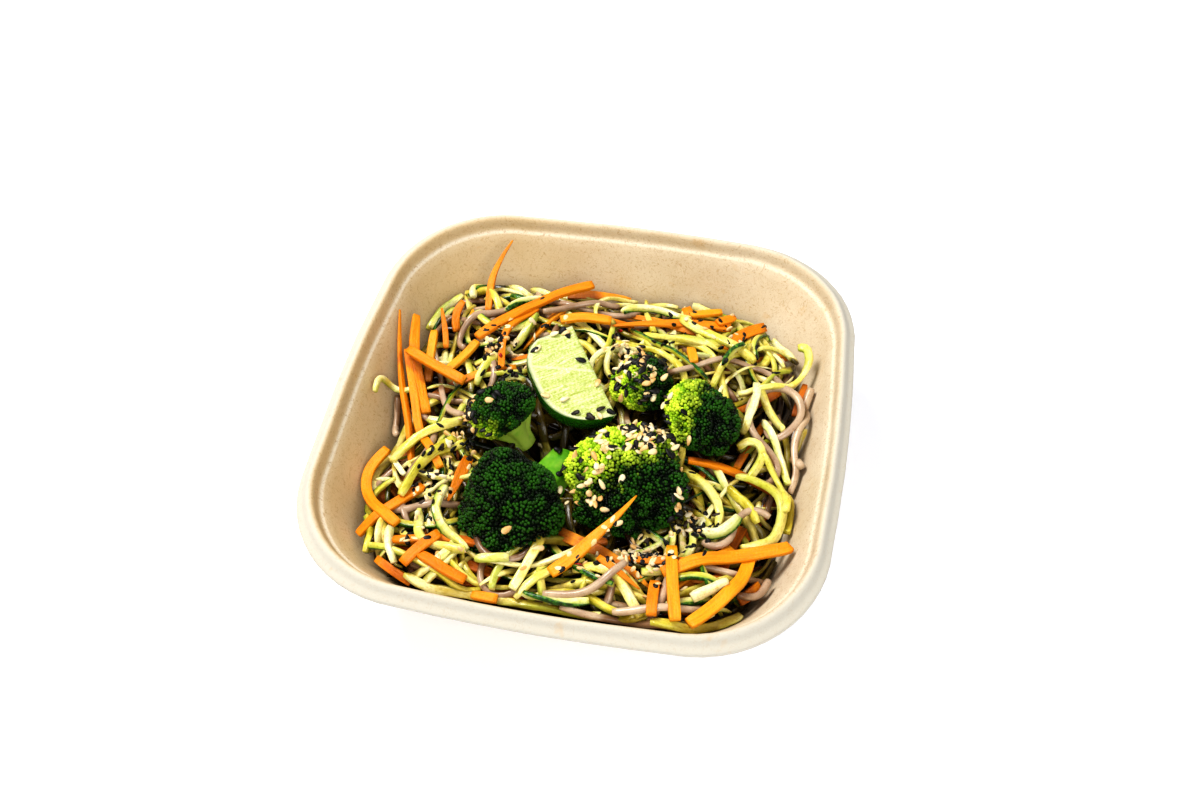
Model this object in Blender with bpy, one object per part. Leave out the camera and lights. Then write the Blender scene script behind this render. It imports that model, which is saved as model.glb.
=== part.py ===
"""Cold soba noodle salad in a square moulded-fibre takeaway tray.

+X runs along the side nearest the eater, +Y away from the eater, +Z up.
The tray stands on z = 0 with its middle over the origin.  Lengths are in metres.
"""
import math

import bmesh
import bpy
from mathutils import Vector, noise
from mathutils.bvhtree import BVHTree

MM = 0.001

# ---- the tray ----
LIP_HALF = 86.0 * MM          # middle of the tray to the outer edge of the lip, at a corner's start
CORNER_RADIUS = 43.6 * MM     # corner of the lip, seen from above
SIDE_BULGE = 1.4 * MM         # the sides bow out a little at their middles
SHEET = 1.2 * MM              # thickness of the pressed pulp
WALL_TOP = (7.8 * MM, 43.2 * MM)      # inset from the lip's edge, height
WALL_SLOPE = math.radians(64.0)       # from level
FLOOR_FILLET = 14.0 * MM
CORNER_TIGHTENING = 0.6       # how fast the corners tighten as the wall comes in
SIDE_STEPS = 4
CORNER_STEPS = 6

# ---- the heap of noodles, courgette and carrot ----
HEAP_CLEARANCE = 0.4 * MM
HEAP_EDGE_HEIGHT = 25.5 * MM
HEAP_CROWN_HEIGHT = 38.0 * MM
HEAP_UNEVENNESS = 2.6 * MM
HEAP_LUMP = 15.0 * MM
NEST_GAP = 0.35 * MM          # air around whatever is pressed into the heap

# ---- broccoli ----
# name, middle of the crown, crown radius, crown height, way it faces, stalk length, stalk radius, lobes
FLORETS = (
    ("broccoli_floret_front", (-17.5, -44.0, 42.5), 18.0, 14.5, (-0.25, -0.86, 0.46), 29.0, 5.6, 15),
    ("broccoli_floret_left", (-27.4, -9.7, 46.0), 11.8, 9.5, (-0.52, 0.20, 0.83), 15.0, 4.0, 9),
    ("broccoli_floret_middle", (18.5, -26.5, 41.5), 18.6, 14.5, (0.10, -0.20, 0.97), 18.0, 6.0, 16),
    ("broccoli_floret_right", (37.6, 2.7, 43.0), 13.0, 11.0, (0.42, -0.15, 0.89), 15.0, 4.4, 10),
    ("broccoli_floret_back", (15.6, 13.4, 42.5), 10.6, 10.5, (0.05, -0.12, 0.99), 14.0, 3.8, 8),
)
LOBE_RELIEF = 0.15            # depth of the creases between lobes, of the crown's radius

# ---- lime ----
LIME_MIDDLE = (-2.4, 10.0, 55.0)
LIME_CORE_WAY = (0.640, -0.751, -0.170)
LIME_FACE_WAY = (-0.721, -0.508, -0.470)
LIME_RADIUS = 20.4 * MM
LIME_HALF_LENGTH = 20.0 * MM
LIME_BLUNT_END = -0.90        # the stalk end is trimmed here, in half lengths
LIME_WEDGE = math.radians(62.0)

# ---- carrot ----
CARROT_THICKNESS = 2.0 * MM
LAY_GAP = 0.4 * MM
# name, width in mm, points it passes through in mm, way its flat side faces
CARROTS = (
    ("carrot_strip_front_short", 3.8, ((36.0, -59.5, 37.5), (34.2, -64.0, 37.5), (33.6, -72.5, 37.0)),
     (0, 0, 1)),
    ("carrot_strip_front_curved", 4.6, ((62.0, -50.0, 36.5), (61.5, -55.0, 37.0), (56.5, -63.5, 37.5),
                                        (48.5, -71.5, 38.0)), (0, 0, 1)),
    ("carrot_strip_front_long", 4.4, ((73.0, -37.0, 37.5), (54.0, -45.5, 39.0), (45.0, -49.0, 39.0),
                                      (34.0, -52.0, 38.5), (27.5, -53.5, 38.0)), (0, 0, 1)),
    ("carrot_strip_front_upright", 4.2, ((35.8, -43.5, 42.0), (38.3, -52.0, 43.0), (40.8, -63.5, 41.5),
                                         (43.0, -74.0, 39.5)), (0, 0, 1)),
    ("carrot_strip_on_broccoli", 4.0, ((22.0, -40.5, 50.0), (14.0, -48.0, 47.5), (7.2, -58.0, 43.0),
                                       (0.8, -65.0, 40.0)), (0, 0, 1)),
    ("carrot_strip_left_arc", 4.2, ((-66.0, -20.0, 32.0), (-69.5, -31.0, 31.0), (-65.0, -42.5, 33.0),
                                    (-53.0, -54.5, 35.0)), (0, 0, 1)),
    ("carrot_strip_front_left", 4.0, ((-36.5, -57.0, 37.0), (-41.0, -64.5, 36.0), (-45.5, -71.5, 34.0)),
     (0, 0, 1)),
    ("carrot_strip_left_leaning", 3.8, ((-77.0, 33.5, 43.0), (-73.0, 19.0, 37.5), (-67.5, 2.0, 35.0),
                                        (-62.5, -11.0, 33.5)), (0.8, 0, 0.6)),
    ("carrot_strip_left_wide", 5.0, ((-71.8, 36.0, 38.5), (-68.0, 25.0, 36.5), (-60.5, 3.0, 35.0)),
     (0.5, -0.2, 0.85)),
    ("carrot_strip_left_across", 4.6, ((-64.0, 16.0, 41.5), (-57.5, 11.5, 42.0), (-45.0, 5.5, 42.0)),
     (0, 0, 1)),
    ("carrot_strip_back_leaning", 3.6, ((-43.0, 74.5, 41.0), (-48.0, 66.5, 37.0), (-50.0, 57.5, 34.5),
                                        (-50.0, 49.0, 33.5)), (0, -0.7, 0.7)),
    ("carrot_strip_back_long", 4.6, ((-11.0, 65.0, 34.0), (-28.0, 53.0, 37.5), (-36.0, 43.0, 38.5),
                                     (-39.0, 30.0, 39.0)), (0, 0, 1)),
    ("carrot_strip_behind_lime", 5.0, ((-21.0, 41.0, 40.5), (-10.0, 44.0, 41.5), (1.0, 45.0, 40.0)),
     (0, 0, 1)),
)


def clear_scene():
    for ob in list(bpy.data.objects):
        bpy.data.objects.remove(ob, do_unlink=True)


def make_material(name, colour, roughness):
    mat = bpy.data.materials.new(name)
    mat.use_nodes = True
    shader = mat.node_tree.nodes["Principled BSDF"]
    shader.inputs["Base Color"].default_value = (*colour, 1.0)
    shader.inputs["Roughness"].default_value = roughness
    shader.inputs["Metallic"].default_value = 0.0
    return mat


def make_object(name, verts, faces, mat):
    mesh = bpy.data.meshes.new(name)
    mesh.from_pydata([tuple(v) for v in verts], [], faces)
    bm = bmesh.new()
    bm.from_mesh(mesh)
    bmesh.ops.recalc_face_normals(bm, faces=bm.faces)
    bm.to_mesh(mesh)
    bm.free()
    for poly in mesh.polygons:
        poly.use_smooth = True
    mesh.materials.append(mat)
    ob = bpy.data.objects.new(name, mesh)
    bpy.context.scene.collection.objects.link(ob)
    return ob


def bridge(first, second, count):
    """Faces joining two closed rings that start at vertex numbers first and second."""
    return [(first + i, first + (i + 1) % count, second + (i + 1) % count, second + i) for i in range(count)]


# ---------------------------------------------------------------- tray
def outline(inset, shrink=1.0):
    """Rounded square with gently bowed sides, inset from the lip's edge, as (x, y) pairs."""
    half = LIP_HALF - inset
    radius = CORNER_RADIUS - CORNER_TIGHTENING * inset
    straight = half - radius
    side = []
    for i in range(SIDE_STEPS):
        t = -1.0 + 2.0 * i / SIDE_STEPS
        side.append((half + SIDE_BULGE * math.cos(t * math.pi / 2), straight * t))
    for i in range(CORNER_STEPS):
        a = math.pi / 2 * i / CORNER_STEPS
        side.append((straight + radius * math.cos(a), straight + radius * math.sin(a)))
    ring = []
    for quarter in range(4):
        c, s = ((1, 0), (0, 1), (-1, 0), (0, -1))[quarter]
        ring += [((x * c - y * s) * shrink, (x * s + y * c) * shrink) for x, y in side]
    return ring


RING = 4 * (SIDE_STEPS + CORNER_STEPS)


def wall_inset(height):
    """Inset of the tray's inner face at a height between the floor and the top of the wall."""
    drop = WALL_TOP[1] - SHEET
    foot = WALL_TOP[0] + drop / math.tan(WALL_SLOPE)
    centre = foot + FLOOR_FILLET * math.tan(WALL_SLOPE / 2)
    bend_height = SHEET + FLOOR_FILLET * (1 - math.cos(WALL_SLOPE))
    if height >= bend_height:
        return WALL_TOP[0] + (WALL_TOP[1] - height) / math.tan(WALL_SLOPE)
    rise = max(height - SHEET, 0.0)
    a = math.acos(1 - rise / FLOOR_FILLET)
    return centre - FLOOR_FILLET * math.sin(a)


def inner_profile():
    """The face that shows, from the lip's outer edge over the rolled rim down to the floor."""
    rim = [(0.0, 46.1), (1.0, 46.9), (2.0, 47.2), (2.7, 48.5), (3.4, 49.6), (4.2, 50.0), (5.0, 49.4),
           (5.6, 47.6), (6.1, 45.4), (6.5, 44.4), (7.3, 44.1)]
    points = [(inset * MM, height * MM) for inset, height in rim]
    points.append(WALL_TOP)
    for i in range(6):
        a = WALL_SLOPE * (1 - i / 5)
        height = SHEET + FLOOR_FILLET * (1 - math.cos(a))
        points.append((wall_inset(height), height))
    return points


def offset_profile(points, distance):
    """The same curve moved to the sheet's other side, with mitred corners."""
    moved = []
    for i, (d, z) in enumerate(points):
        before = Vector(points[max(i - 1, 0)])
        after = Vector(points[min(i + 1, len(points) - 1)])
        here = Vector((d, z))
        first = (here - before).normalized() if i else (after - here).normalized()
        last = (after - here).normalized() if i < len(points) - 1 else first
        n1 = Vector((-first.y, first.x))
        n2 = Vector((-last.y, last.x))
        n = (n1 + n2).normalized()
        reach = min(1.0 / max(n.dot(n1), 0.35), 1.35)
        moved.append((d - n.x * distance * reach, z - n.y * distance * reach))
    return moved


def make_tray(mat):
    top = inner_profile()
    bottom = offset_profile(top, SHEET)
    bottom[0] = (0.15 * MM, top[0][1] - SHEET)
    bottom[-1] = (bottom[-1][0], 0.0)
    bottom = [point for i, point in enumerate(bottom) if i not in (1, 3, 7, 9)]
    skin = top[::-1] + bottom
    verts = []
    faces = []
    for inset, height in skin:
        verts += [(x, y, height) for x, y in outline(inset)]
    for k in range(len(skin) - 1):
        faces += bridge(k * RING, (k + 1) * RING, RING)
    for last_ring, height in ((0, SHEET), ((len(skin) - 1) * RING, 0.0)):
        inset = wall_inset(SHEET)
        inner_ring = len(verts)
        verts += [(x, y, height) for x, y in outline(inset, 0.45)]
        faces += bridge(last_ring, inner_ring, RING)
        centre = len(verts)
        verts.append((0.0, 0.0, height))
        faces += [(inner_ring + i, inner_ring + (i + 1) % RING, centre) for i in range(RING)]
    return make_object("tray", verts, faces, mat)


# ---------------------------------------------------------------- broccoli
def lobe_ways(count):
    """Directions of a crown's lobes, spread evenly over its dome."""
    golden = math.pi * (3 - math.sqrt(5))
    ways = []
    for i in range(count):
        up = 1 - (i + 0.35) / count
        across = math.sqrt(1 - up * up)
        ways.append(Vector((across * math.cos(i * golden), across * math.sin(i * golden), up)))
    return ways


def floret_mesh(centre, radius, height, facing, stalk, stalk_radius, lobes, around, dome_steps):
    """A lobed crown on its stalk, as one closed skin of rings from the cut end to the top."""
    ways = lobe_ways(lobes)
    reach = 1.9 / math.sqrt(lobes)
    profile = [(stalk_radius * 0.96, -stalk), (stalk_radius, -stalk * 0.72), (stalk_radius * 1.05, -0.72 * radius),
               (stalk_radius * 1.45, -0.52 * radius), (radius * 0.74, -0.34 * radius),
               (radius * 0.93, -0.20 * radius)]
    crown_starts = 4
    for i in range(dome_steps):
        a = math.pi / 2 * i / dome_steps
        profile.append((radius * math.cos(a), height * math.sin(a)))
    turn = Vector(facing).normalized().to_track_quat("Z", "Y")
    verts = []
    origin = Vector((0, 0, -0.35 * radius))

    def place(point, on_crown):
        if on_crown:
            way = (point - origin).normalized()
            nearest = min(way.angle(w) for w in ways)
            bump = max(0.0, 1 - (nearest / reach) ** 2)
            point = origin + (point - origin) * (1 - LOBE_RELIEF * (1 - bump))
        return (turn @ point + Vector(centre)) * MM

    for k, (r, h) in enumerate(profile):
        for i in range(around):
            a = 2 * math.pi * (i + 0.5 * (k % 2)) / around
            verts.append(place(Vector((r * math.cos(a), r * math.sin(a), h)), k >= crown_starts))
    faces = []
    for k in range(len(profile) - 1):
        faces += bridge(k * around, (k + 1) * around, around)
    low = len(verts)
    verts.append(place(Vector((0, 0, -stalk)), False))
    high = len(verts)
    verts.append(place(Vector((0, 0, height)), True))
    faces += [(i, (i + 1) % around, low) for i in range(around)]
    start = (len(profile) - 1) * around
    faces += [(start + i, start + (i + 1) % around, high) for i in range(around)]
    return verts, faces


def make_floret(row, mat):
    name, centre, radius, height, facing, stalk, stalk_radius, lobes = row
    big = radius > 15
    verts, faces = floret_mesh(centre, radius, height, facing, stalk, stalk_radius, lobes,
                               28 if big else 20, 8 if big else 7)
    return make_object(name, verts, faces, mat)


# ---------------------------------------------------------------- lime
def make_lime(mat):
    along = Vector(LIME_CORE_WAY).normalized()
    face_way = Vector(LIME_FACE_WAY)
    face_way = (face_way - along * face_way.dot(along)).normalized()
    under = along.cross(face_way)
    if under.z > 0:
        under = -under
    middle = Vector(LIME_MIDDLE) * MM
    verts = []
    faces = []
    sections = 13
    arc = 8
    for k in range(sections):
        s = LIME_BLUNT_END + (0.985 - LIME_BLUNT_END) * k / (sections - 1)
        swell = LIME_RADIUS * math.sqrt(max(1 - abs(s) ** 2.3, 0.0))
        at = middle + along * (LIME_HALF_LENGTH * s)
        verts.append(at)
        for i in range(arc + 1):
            a = LIME_WEDGE * i / arc
            verts.append(at + (face_way * math.cos(a) + under * math.sin(a)) * swell)
    size = arc + 2
    for k in range(sections - 1):
        faces += bridge(k * size, (k + 1) * size, size)
    faces.append(tuple(range(size)))
    faces.append(tuple(range((sections - 1) * size, sections * size)))
    return make_object("lime_wedge", verts, faces, mat)


# ---------------------------------------------------------------- heap
def heap_relief(x, y):
    """Uneven height of the packed noodles, in metres."""
    p = Vector((x, y, 0.0)) / HEAP_LUMP
    return HEAP_UNEVENNESS * (noise.noise(p) * 1.5 + 0.7 * noise.noise(p * 2.3 + Vector((7, 3, 0))))


def heap_height(x, y, share):
    """Height of the heap's top where share runs from 0 in the middle to 1 at the wall."""
    return HEAP_CROWN_HEIGHT - (HEAP_CROWN_HEIGHT - HEAP_EDGE_HEIGHT) * share ** 2.4 + heap_relief(x, y)


def make_heap(mat):
    verts = []
    faces = []
    edge_inset = wall_inset(HEAP_EDGE_HEIGHT) + HEAP_CLEARANCE
    edge = outline(edge_inset)
    edge_heights = [heap_height(x, y, 1.0) for x, y in edge]
    floor = SHEET + 0.3 * MM
    side_rings = 6
    inner_floor = outline(wall_inset(floor) + HEAP_CLEARANCE, 0.5)
    verts.append((0.0, 0.0, floor))
    verts += [(x, y, floor) for x, y in inner_floor]
    faces += [(0, 1 + i, 1 + (i + 1) % RING) for i in range(RING)]
    for k in range(side_rings + 1):
        share = (k / side_rings) ** 1.5
        ring = []
        for i in range(RING):
            height = floor + (edge_heights[i] - floor) * share
            x, y = outline(wall_inset(height) + HEAP_CLEARANCE)[i]
            ring.append((x, y, height))
        start = len(verts)
        faces += bridge(start - RING, start, RING)
        verts += ring
    top_rings = 8
    for k in range(1, top_rings):
        share = 1 - k / top_rings
        start = len(verts)
        faces += bridge(start - RING, start, RING)
        verts += [(x * share, y * share, heap_height(x * share, y * share, share)) for x, y in edge]
    start = len(verts) - RING
    verts.append((0.0, 0.0, heap_height(0.0, 0.0, 0.0)))
    faces += [(start + i, start + (i + 1) % RING, len(verts) - 1) for i in range(RING)]
    return make_object("noodle_heap", verts, faces, mat)


def press_into(heap, toppings):
    """Cut a nest in the heap for each topping, a little wider than the topping itself."""
    for topping in toppings:
        mesh = topping.data.copy()
        for vert, normal in zip(mesh.vertices, [v.normal.copy() for v in mesh.vertices]):
            vert.co += normal * NEST_GAP
        cutter = bpy.data.objects.new("nest_" + topping.name, mesh)
        bpy.context.scene.collection.objects.link(cutter)
        cutter.hide_render = True
        cutter.display_type = "WIRE"
        cut = heap.modifiers.new("nest", "BOOLEAN")
        cut.operation = "DIFFERENCE"
        cut.solver = "EXACT"
        cut.object = cutter
        bpy.context.view_layer.objects.active = heap
        with bpy.context.temp_override(object=heap, active_object=heap, selected_objects=[heap]):
            bpy.ops.object.modifier_apply(modifier=cut.name)
        bpy.data.objects.remove(cutter, do_unlink=True)


# ---------------------------------------------------------------- carrot
def smooth_path(points, steps):
    """Evenly stepped Catmull-Rom curve through the given points."""
    pts = [Vector(p) for p in points]
    pts = [pts[0] * 2 - pts[1]] + pts + [pts[-1] * 2 - pts[-2]]
    dense = []
    for k in range(1, len(pts) - 2):
        a, b, c, d = pts[k - 1:k + 3]
        for i in range(12):
            t = i / 12
            dense.append(0.5 * ((2 * b) + (c - a) * t + (2 * a - 5 * b + 4 * c - d) * t * t
                                + (3 * b - a - 3 * c + d) * t ** 3))
    dense.append(pts[-2])
    lengths = [0.0]
    for p, q in zip(dense, dense[1:]):
        lengths.append(lengths[-1] + (q - p).length)
    path = []
    for i in range(steps + 1):
        want = lengths[-1] * i / steps
        k = min(max(j for j, run in enumerate(lengths) if run <= want + 1e-9), len(dense) - 2)
        span = lengths[k + 1] - lengths[k]
        path.append(dense[k].lerp(dense[k + 1], (want - lengths[k]) / span))
    return path


def lay_on(path, width, resting_on):
    """Lift a path until a strip of this width lies clear of everything under it."""
    trees = [BVHTree.FromObject(ob, bpy.context.evaluated_depsgraph_get()) for ob in resting_on]
    needed = []
    for p in path:
        top = -1.0
        for dx in (-1, -0.5, 0, 0.5, 1):
            for dy in (-1, -0.5, 0, 0.5, 1):
                above = Vector((p.x + dx * width * 0.62, p.y + dy * width * 0.62, 0.2))
                for tree in trees:
                    hit = tree.ray_cast(above, Vector((0, 0, -1)))[0]
                    if hit is not None:
                        top = max(top, hit.z)
        needed.append(top + CARROT_THICKNESS / 2 + LAY_GAP)
    heights = [max(p.z, n) for p, n in zip(path, needed)]
    for _ in range(30):
        eased = list(heights)
        for i in range(1, len(heights) - 1):
            eased[i] = max(needed[i], (heights[i - 1] + 2 * heights[i] + heights[i + 1]) / 4)
        heights = eased
    return [Vector((p.x, p.y, h)) for p, h in zip(path, heights)]


def make_carrot(row, mat, resting_on):
    name, width_mm, points, flat_way = row
    width = width_mm * MM
    steps = 9
    path = smooth_path([Vector(p) * MM for p in points], steps)
    if flat_way == (0, 0, 1):
        path = lay_on(path, width, resting_on)
    verts = []
    faces = []
    for i, p in enumerate(path):
        ahead = (path[min(i + 1, steps)] - path[max(i - 1, 0)]).normalized()
        up = Vector(flat_way)
        across = ahead.cross(up).normalized()
        up = across.cross(ahead).normalized()
        end = 0.72 if i in (0, steps) else 1.0
        for sx, sy in ((-1, -1), (1, -1), (1, 1), (-1, 1)):
            verts.append(p + across * (sx * width / 2 * end) + up * (sy * CARROT_THICKNESS / 2 * end))
    for i in range(steps):
        faces += bridge(i * 4, i * 4 + 4, 4)
    faces.append((0, 1, 2, 3))
    faces.append(tuple(range(steps * 4, steps * 4 + 4)))
    ob = make_object(name, verts, faces, mat)
    for poly in ob.data.polygons:
        poly.use_smooth = False
    return ob


# ---------------------------------------------------------------- assembly
def main():
    clear_scene()
    pulp = make_material("moulded_bagasse", (0.62, 0.46, 0.27), 0.85)
    noodles = make_material("dressed_noodles", (0.55, 0.50, 0.20), 0.35)
    broccoli = make_material("blanched_broccoli", (0.03, 0.13, 0.01), 0.6)
    lime = make_material("cut_lime", (0.62, 0.72, 0.25), 0.3)
    carrot = make_material("raw_carrot", (0.95, 0.27, 0.01), 0.4)

    tray = make_tray(pulp)
    florets = [make_floret(row, broccoli) for row in FLORETS]
    wedge = make_lime(lime)
    heap = make_heap(noodles)
    press_into(heap, florets + [wedge])
    resting_on = [tray, heap, wedge] + florets
    for row in CARROTS:
        resting_on.append(make_carrot(row, carrot, resting_on))


main()
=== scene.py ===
"""Cold soba noodle salad in a moulded-fibre takeaway tray: every piece that shows, laid over the
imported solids.

Lengths are worked out in millimetres and turned to metres as each mesh is made.
"""

import math
import random
from collections import namedtuple
from functools import partial

import bpy
import numpy as np
from mathutils import Matrix, Vector, noise
from mathutils.bvhtree import BVHTree


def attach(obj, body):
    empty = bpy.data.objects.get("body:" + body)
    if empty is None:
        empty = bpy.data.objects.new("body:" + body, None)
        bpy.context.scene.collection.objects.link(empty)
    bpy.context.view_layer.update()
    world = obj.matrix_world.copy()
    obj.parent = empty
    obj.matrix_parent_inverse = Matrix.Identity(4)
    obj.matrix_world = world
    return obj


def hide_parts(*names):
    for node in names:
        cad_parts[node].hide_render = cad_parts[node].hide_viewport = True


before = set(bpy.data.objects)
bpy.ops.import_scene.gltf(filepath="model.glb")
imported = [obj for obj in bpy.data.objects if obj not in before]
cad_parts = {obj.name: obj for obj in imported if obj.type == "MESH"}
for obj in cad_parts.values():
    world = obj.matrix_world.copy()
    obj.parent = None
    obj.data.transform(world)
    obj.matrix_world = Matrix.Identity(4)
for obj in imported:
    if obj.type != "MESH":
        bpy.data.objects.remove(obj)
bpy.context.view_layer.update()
MM = 0.001


# ------------------------------------------------------------------ colour and shader nodes
def colour(hex_code):
    """A printed sRGB colour as the linear values a shader takes."""
    channels = [int(hex_code[i:i + 2], 16) / 255 for i in (1, 3, 5)]
    return tuple(c / 12.92 if c <= 0.04045 else ((c + 0.055) / 1.055) ** 2.4 for c in channels) + (1.0,)


# a colour Mix node keeps its two colours in these sockets
FIRST, SECOND = 6, 7
BLACK, WHITE = (0, 0, 0, 1), (1, 1, 1, 1)


def set_inputs(node, inputs):
    """Set a node's own sockets; a value that is a node or a socket is linked instead."""
    for key, value in inputs.items():
        if isinstance(value, bpy.types.Node):
            value = next(out for out in value.outputs if out.enabled)
        if isinstance(value, bpy.types.NodeSocket):
            node.id_data.links.new(value, node.inputs[key])
        else:
            node.inputs[key].default_value = value


def add_node(tree, kind, inputs=None, stops=None, **settings):
    """Add one node: settings are its options, inputs its values or links, stops a ramp's colours."""
    made = tree.nodes.new("ShaderNode" + kind)
    for key, value in settings.items():
        setattr(made, key, value)
    set_inputs(made, inputs or {})
    if stops:
        elements = made.color_ramp.elements
        while len(elements) < len(stops):
            elements.new(0.5)
        for element, (place, shade) in zip(elements, stops):
            element.position = place
            element.color = shade
    return made


def start_material(name):
    """A material, the call that adds a node to it, and its bare Principled shader."""
    mat = bpy.data.materials.new(name)
    mat.use_nodes = True
    return mat, partial(add_node, mat.node_tree), mat.node_tree.nodes["Principled BSDF"]


def per_mm(size_mm):
    """Texture scale, in object space metres, that gives a pattern of this size."""
    return 1.0 / (size_mm * MM)


def read_mark(add):
    """The mark kept at every corner of a piece, as three separate values."""
    return add("SeparateColor", {"Color": add("Attribute", attribute_name="mark")}).outputs


def painted_depth_shade(add, shade, depth, lightest, deepest):
    """Painted shade: the deeper a strand lies under and beside the food around it, the darker and browner it
    is painted.
    """
    # painted shade ramp: white near the heap's top, darker and browner deeper down
    stain_and_shade_ramp = add("ValToRGB", {"Fac": depth},
              stops=((0.0, WHITE), (0.28, colour(lightest)), (1.0, colour(deepest))))
    return add("Mix", {"Factor": 1.0, FIRST: shade, SECOND: stain_and_shade_ramp}, data_type="RGBA", blend_type="MULTIPLY")


# ------------------------------------------------------------------ mesh building
class Batch:
    """Many small things of one kind, gathered into one mesh with a mark and a UV at every corner."""

    def __init__(self):
        self.verts, self.marks = [], []
        self.quads, self.quad_uvs, self.tris = [], [], []
        self.count = 0

    def add(self, verts, mark, quads, quad_uv, tris):
        """Add points in millimetres, their marks (one for all, or one each) and faces."""
        verts = np.asarray(verts, float)
        mark = np.asarray(mark, float)
        if mark.ndim == 1:
            mark = np.tile(mark, (len(verts), 1))
        self.verts.append(verts)
        self.marks.append(mark)
        self.quads.append(np.asarray(quads, int) + self.count)
        self.quad_uvs.append(np.zeros((len(quads), 4, 2)) if quad_uv is None else quad_uv)
        self.tris.append(np.asarray(tris, int) + self.count)
        self.count += len(verts)

    def shade_depth(self, surface, cover, reach=9.0):
        """Third mark: how far each point lies under the food over and beside it; it sets how much painted
        shade the point gets.
        """
        for verts, marks in zip(self.verts, self.marks):
            i, j = surface.cells(verts[:, 0], verts[:, 1])
            marks[:, 2] = np.clip((cover[i, j] - verts[:, 2] - 1.6) / reach, 0, 1)

    def build(self, name, material, slot):
        """Make the piece: one mesh on the one body. The record slot, slot, is not used."""
        verts = np.concatenate(self.verts) * MM
        marks = np.concatenate(self.marks)
        quads, tris = np.concatenate(self.quads), np.concatenate(self.tris)
        loops = np.concatenate([quads.ravel(), tris.ravel()])
        starts = np.concatenate([4 * np.arange(len(quads)), quads.size + 3 * np.arange(len(tris))])
        uvs = np.concatenate([np.concatenate(self.quad_uvs).ravel(), np.zeros(2 * tris.size)])
        mesh = bpy.data.meshes.new(name)
        mesh.vertices.add(len(verts))
        mesh.vertices.foreach_set("co", verts.ravel())
        mesh.loops.add(len(loops))
        mesh.loops.foreach_set("vertex_index", loops)
        mesh.polygons.add(len(starts))
        mesh.polygons.foreach_set("loop_start", starts)
        mesh.update(calc_edges=True)
        mesh.validate()
        mesh.polygons.foreach_set("use_smooth", np.full(len(mesh.polygons), True))
        mesh.attributes.new("mark", "FLOAT_COLOR", "POINT").data.foreach_set("color", marks.ravel())
        mesh.uv_layers.new(name="cut").data.foreach_set("uv", uvs)
        mesh.materials.append(material)
        made = bpy.data.objects.new(name, mesh)
        bpy.context.scene.collection.objects.link(made)
        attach(made, "root")
        return made


def unit(v):
    return v / np.maximum(np.linalg.norm(v, axis=-1, keepdims=True), 1e-9)


def run_along(path):
    """Distance travelled at each point of a path."""
    return np.concatenate([[0.0], np.cumsum(np.linalg.norm(np.diff(path, axis=0), axis=1))])


def loft_faces(rings, around):
    """Faces of a stack of rings, with a fan at each end onto one more point.

    Gives the quads, the ring and the place in it that each quad starts from, and the fans."""
    k, i = np.meshgrid(np.arange(rings - 1), np.arange(around), indexing="ij")
    k, i = k.ravel(), i.ravel()
    j = (i + 1) % around
    quads = np.stack([k * around + i, k * around + j, (k + 1) * around + j, (k + 1) * around + i], axis=1)
    ring, last, end = np.arange(around), (rings - 1) * around, np.full(around, rings * around)
    after = (ring + 1) % around
    fans = np.concatenate([np.stack([after, ring, end], 1),
                           np.stack([last + ring, last + after, end + 1], 1)])
    return quads, k, i, fans


def strand_frames(path, roll):
    """Side and up directions along a path, turned about it by roll (one angle or one a point)."""
    ahead = unit(np.gradient(path, axis=0))
    side = np.cross(ahead, [0.0, 0.0, 1.0])
    for i in range(len(side)):
        if np.linalg.norm(side[i]) < 0.15:
            side[i] = side[i - 1] if i else [1.0, 0.0, 0.0]
    side = unit(side)
    up = unit(np.cross(side, ahead))
    turn = np.broadcast_to(np.asarray(roll, float), (len(path),))[:, None]
    return side * np.cos(turn) + up * np.sin(turn), up * np.cos(turn) - side * np.sin(turn)


def sweep(batch, path, roll, section, girth, shade, skin=None):
    """Carry a cross-section along a path as one closed strand.

    girth scales the section at every point, shade is the strand's own tone and skin marks the
    section's points that carry peel."""
    side, up = strand_frames(path, roll)
    n, m = len(path), len(section)
    girth = np.broadcast_to(np.asarray(girth, float), (n,))[:, None, None]
    verts = path[:, None] + girth * (side[:, None] * section[None, :, :1] + up[:, None] * section[None, :,
                                                                                                  1:2])
    verts = verts.reshape(-1, 3)
    run = run_along(path)
    edge = run_along(np.vstack([section, section[:1]]))
    quads, k, i, fans = loft_faces(n, m)
    quad_uv = np.stack([np.stack([run[k], edge[i]], 1), np.stack([run[k], edge[i + 1]], 1),
                        np.stack([run[k + 1], edge[i + 1]], 1), np.stack([run[k + 1], edge[i]], 1)], axis=1)
    peel = np.zeros(m) if skin is None else np.asarray(skin, float)
    marks = np.zeros((n * m + 2, 4))
    marks[:, 0] = shade
    marks[:n * m, 1] = np.tile(peel, n)
    marks[n * m:, 1] = 0.5 * peel.max()
    marks[:, 3] = 1.0
    batch.add(np.concatenate([verts, path[[0, -1]]]), marks, quads, quad_uv, fans)


def rounded_square(width, height, corner=0.5):
    """Eight points of a soft-cornered strip."""
    w, h = width / 2, height / 2
    c = min(w, h) * corner
    return np.array([(w, -h + c), (w, h - c), (w - c, h), (-w + c, h),
                     (-w, h - c), (-w, -h + c), (-w + c, -h), (w - c, -h)])


def knife_cut(width, height):
    """Twelve points of a strip with flat faces and just-broken edges."""
    w, h = width / 2, height / 2
    a, b = 0.13, 0.7
    return np.array([(w, -h + a), (w, h - a), (w - a, h), (w - b, h), (-w + b, h), (-w + a, h),
                     (-w, h - a), (-w, -h + a), (-w + a, -h), (-w + b, -h), (w - b, -h), (w - a, -h)])


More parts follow.
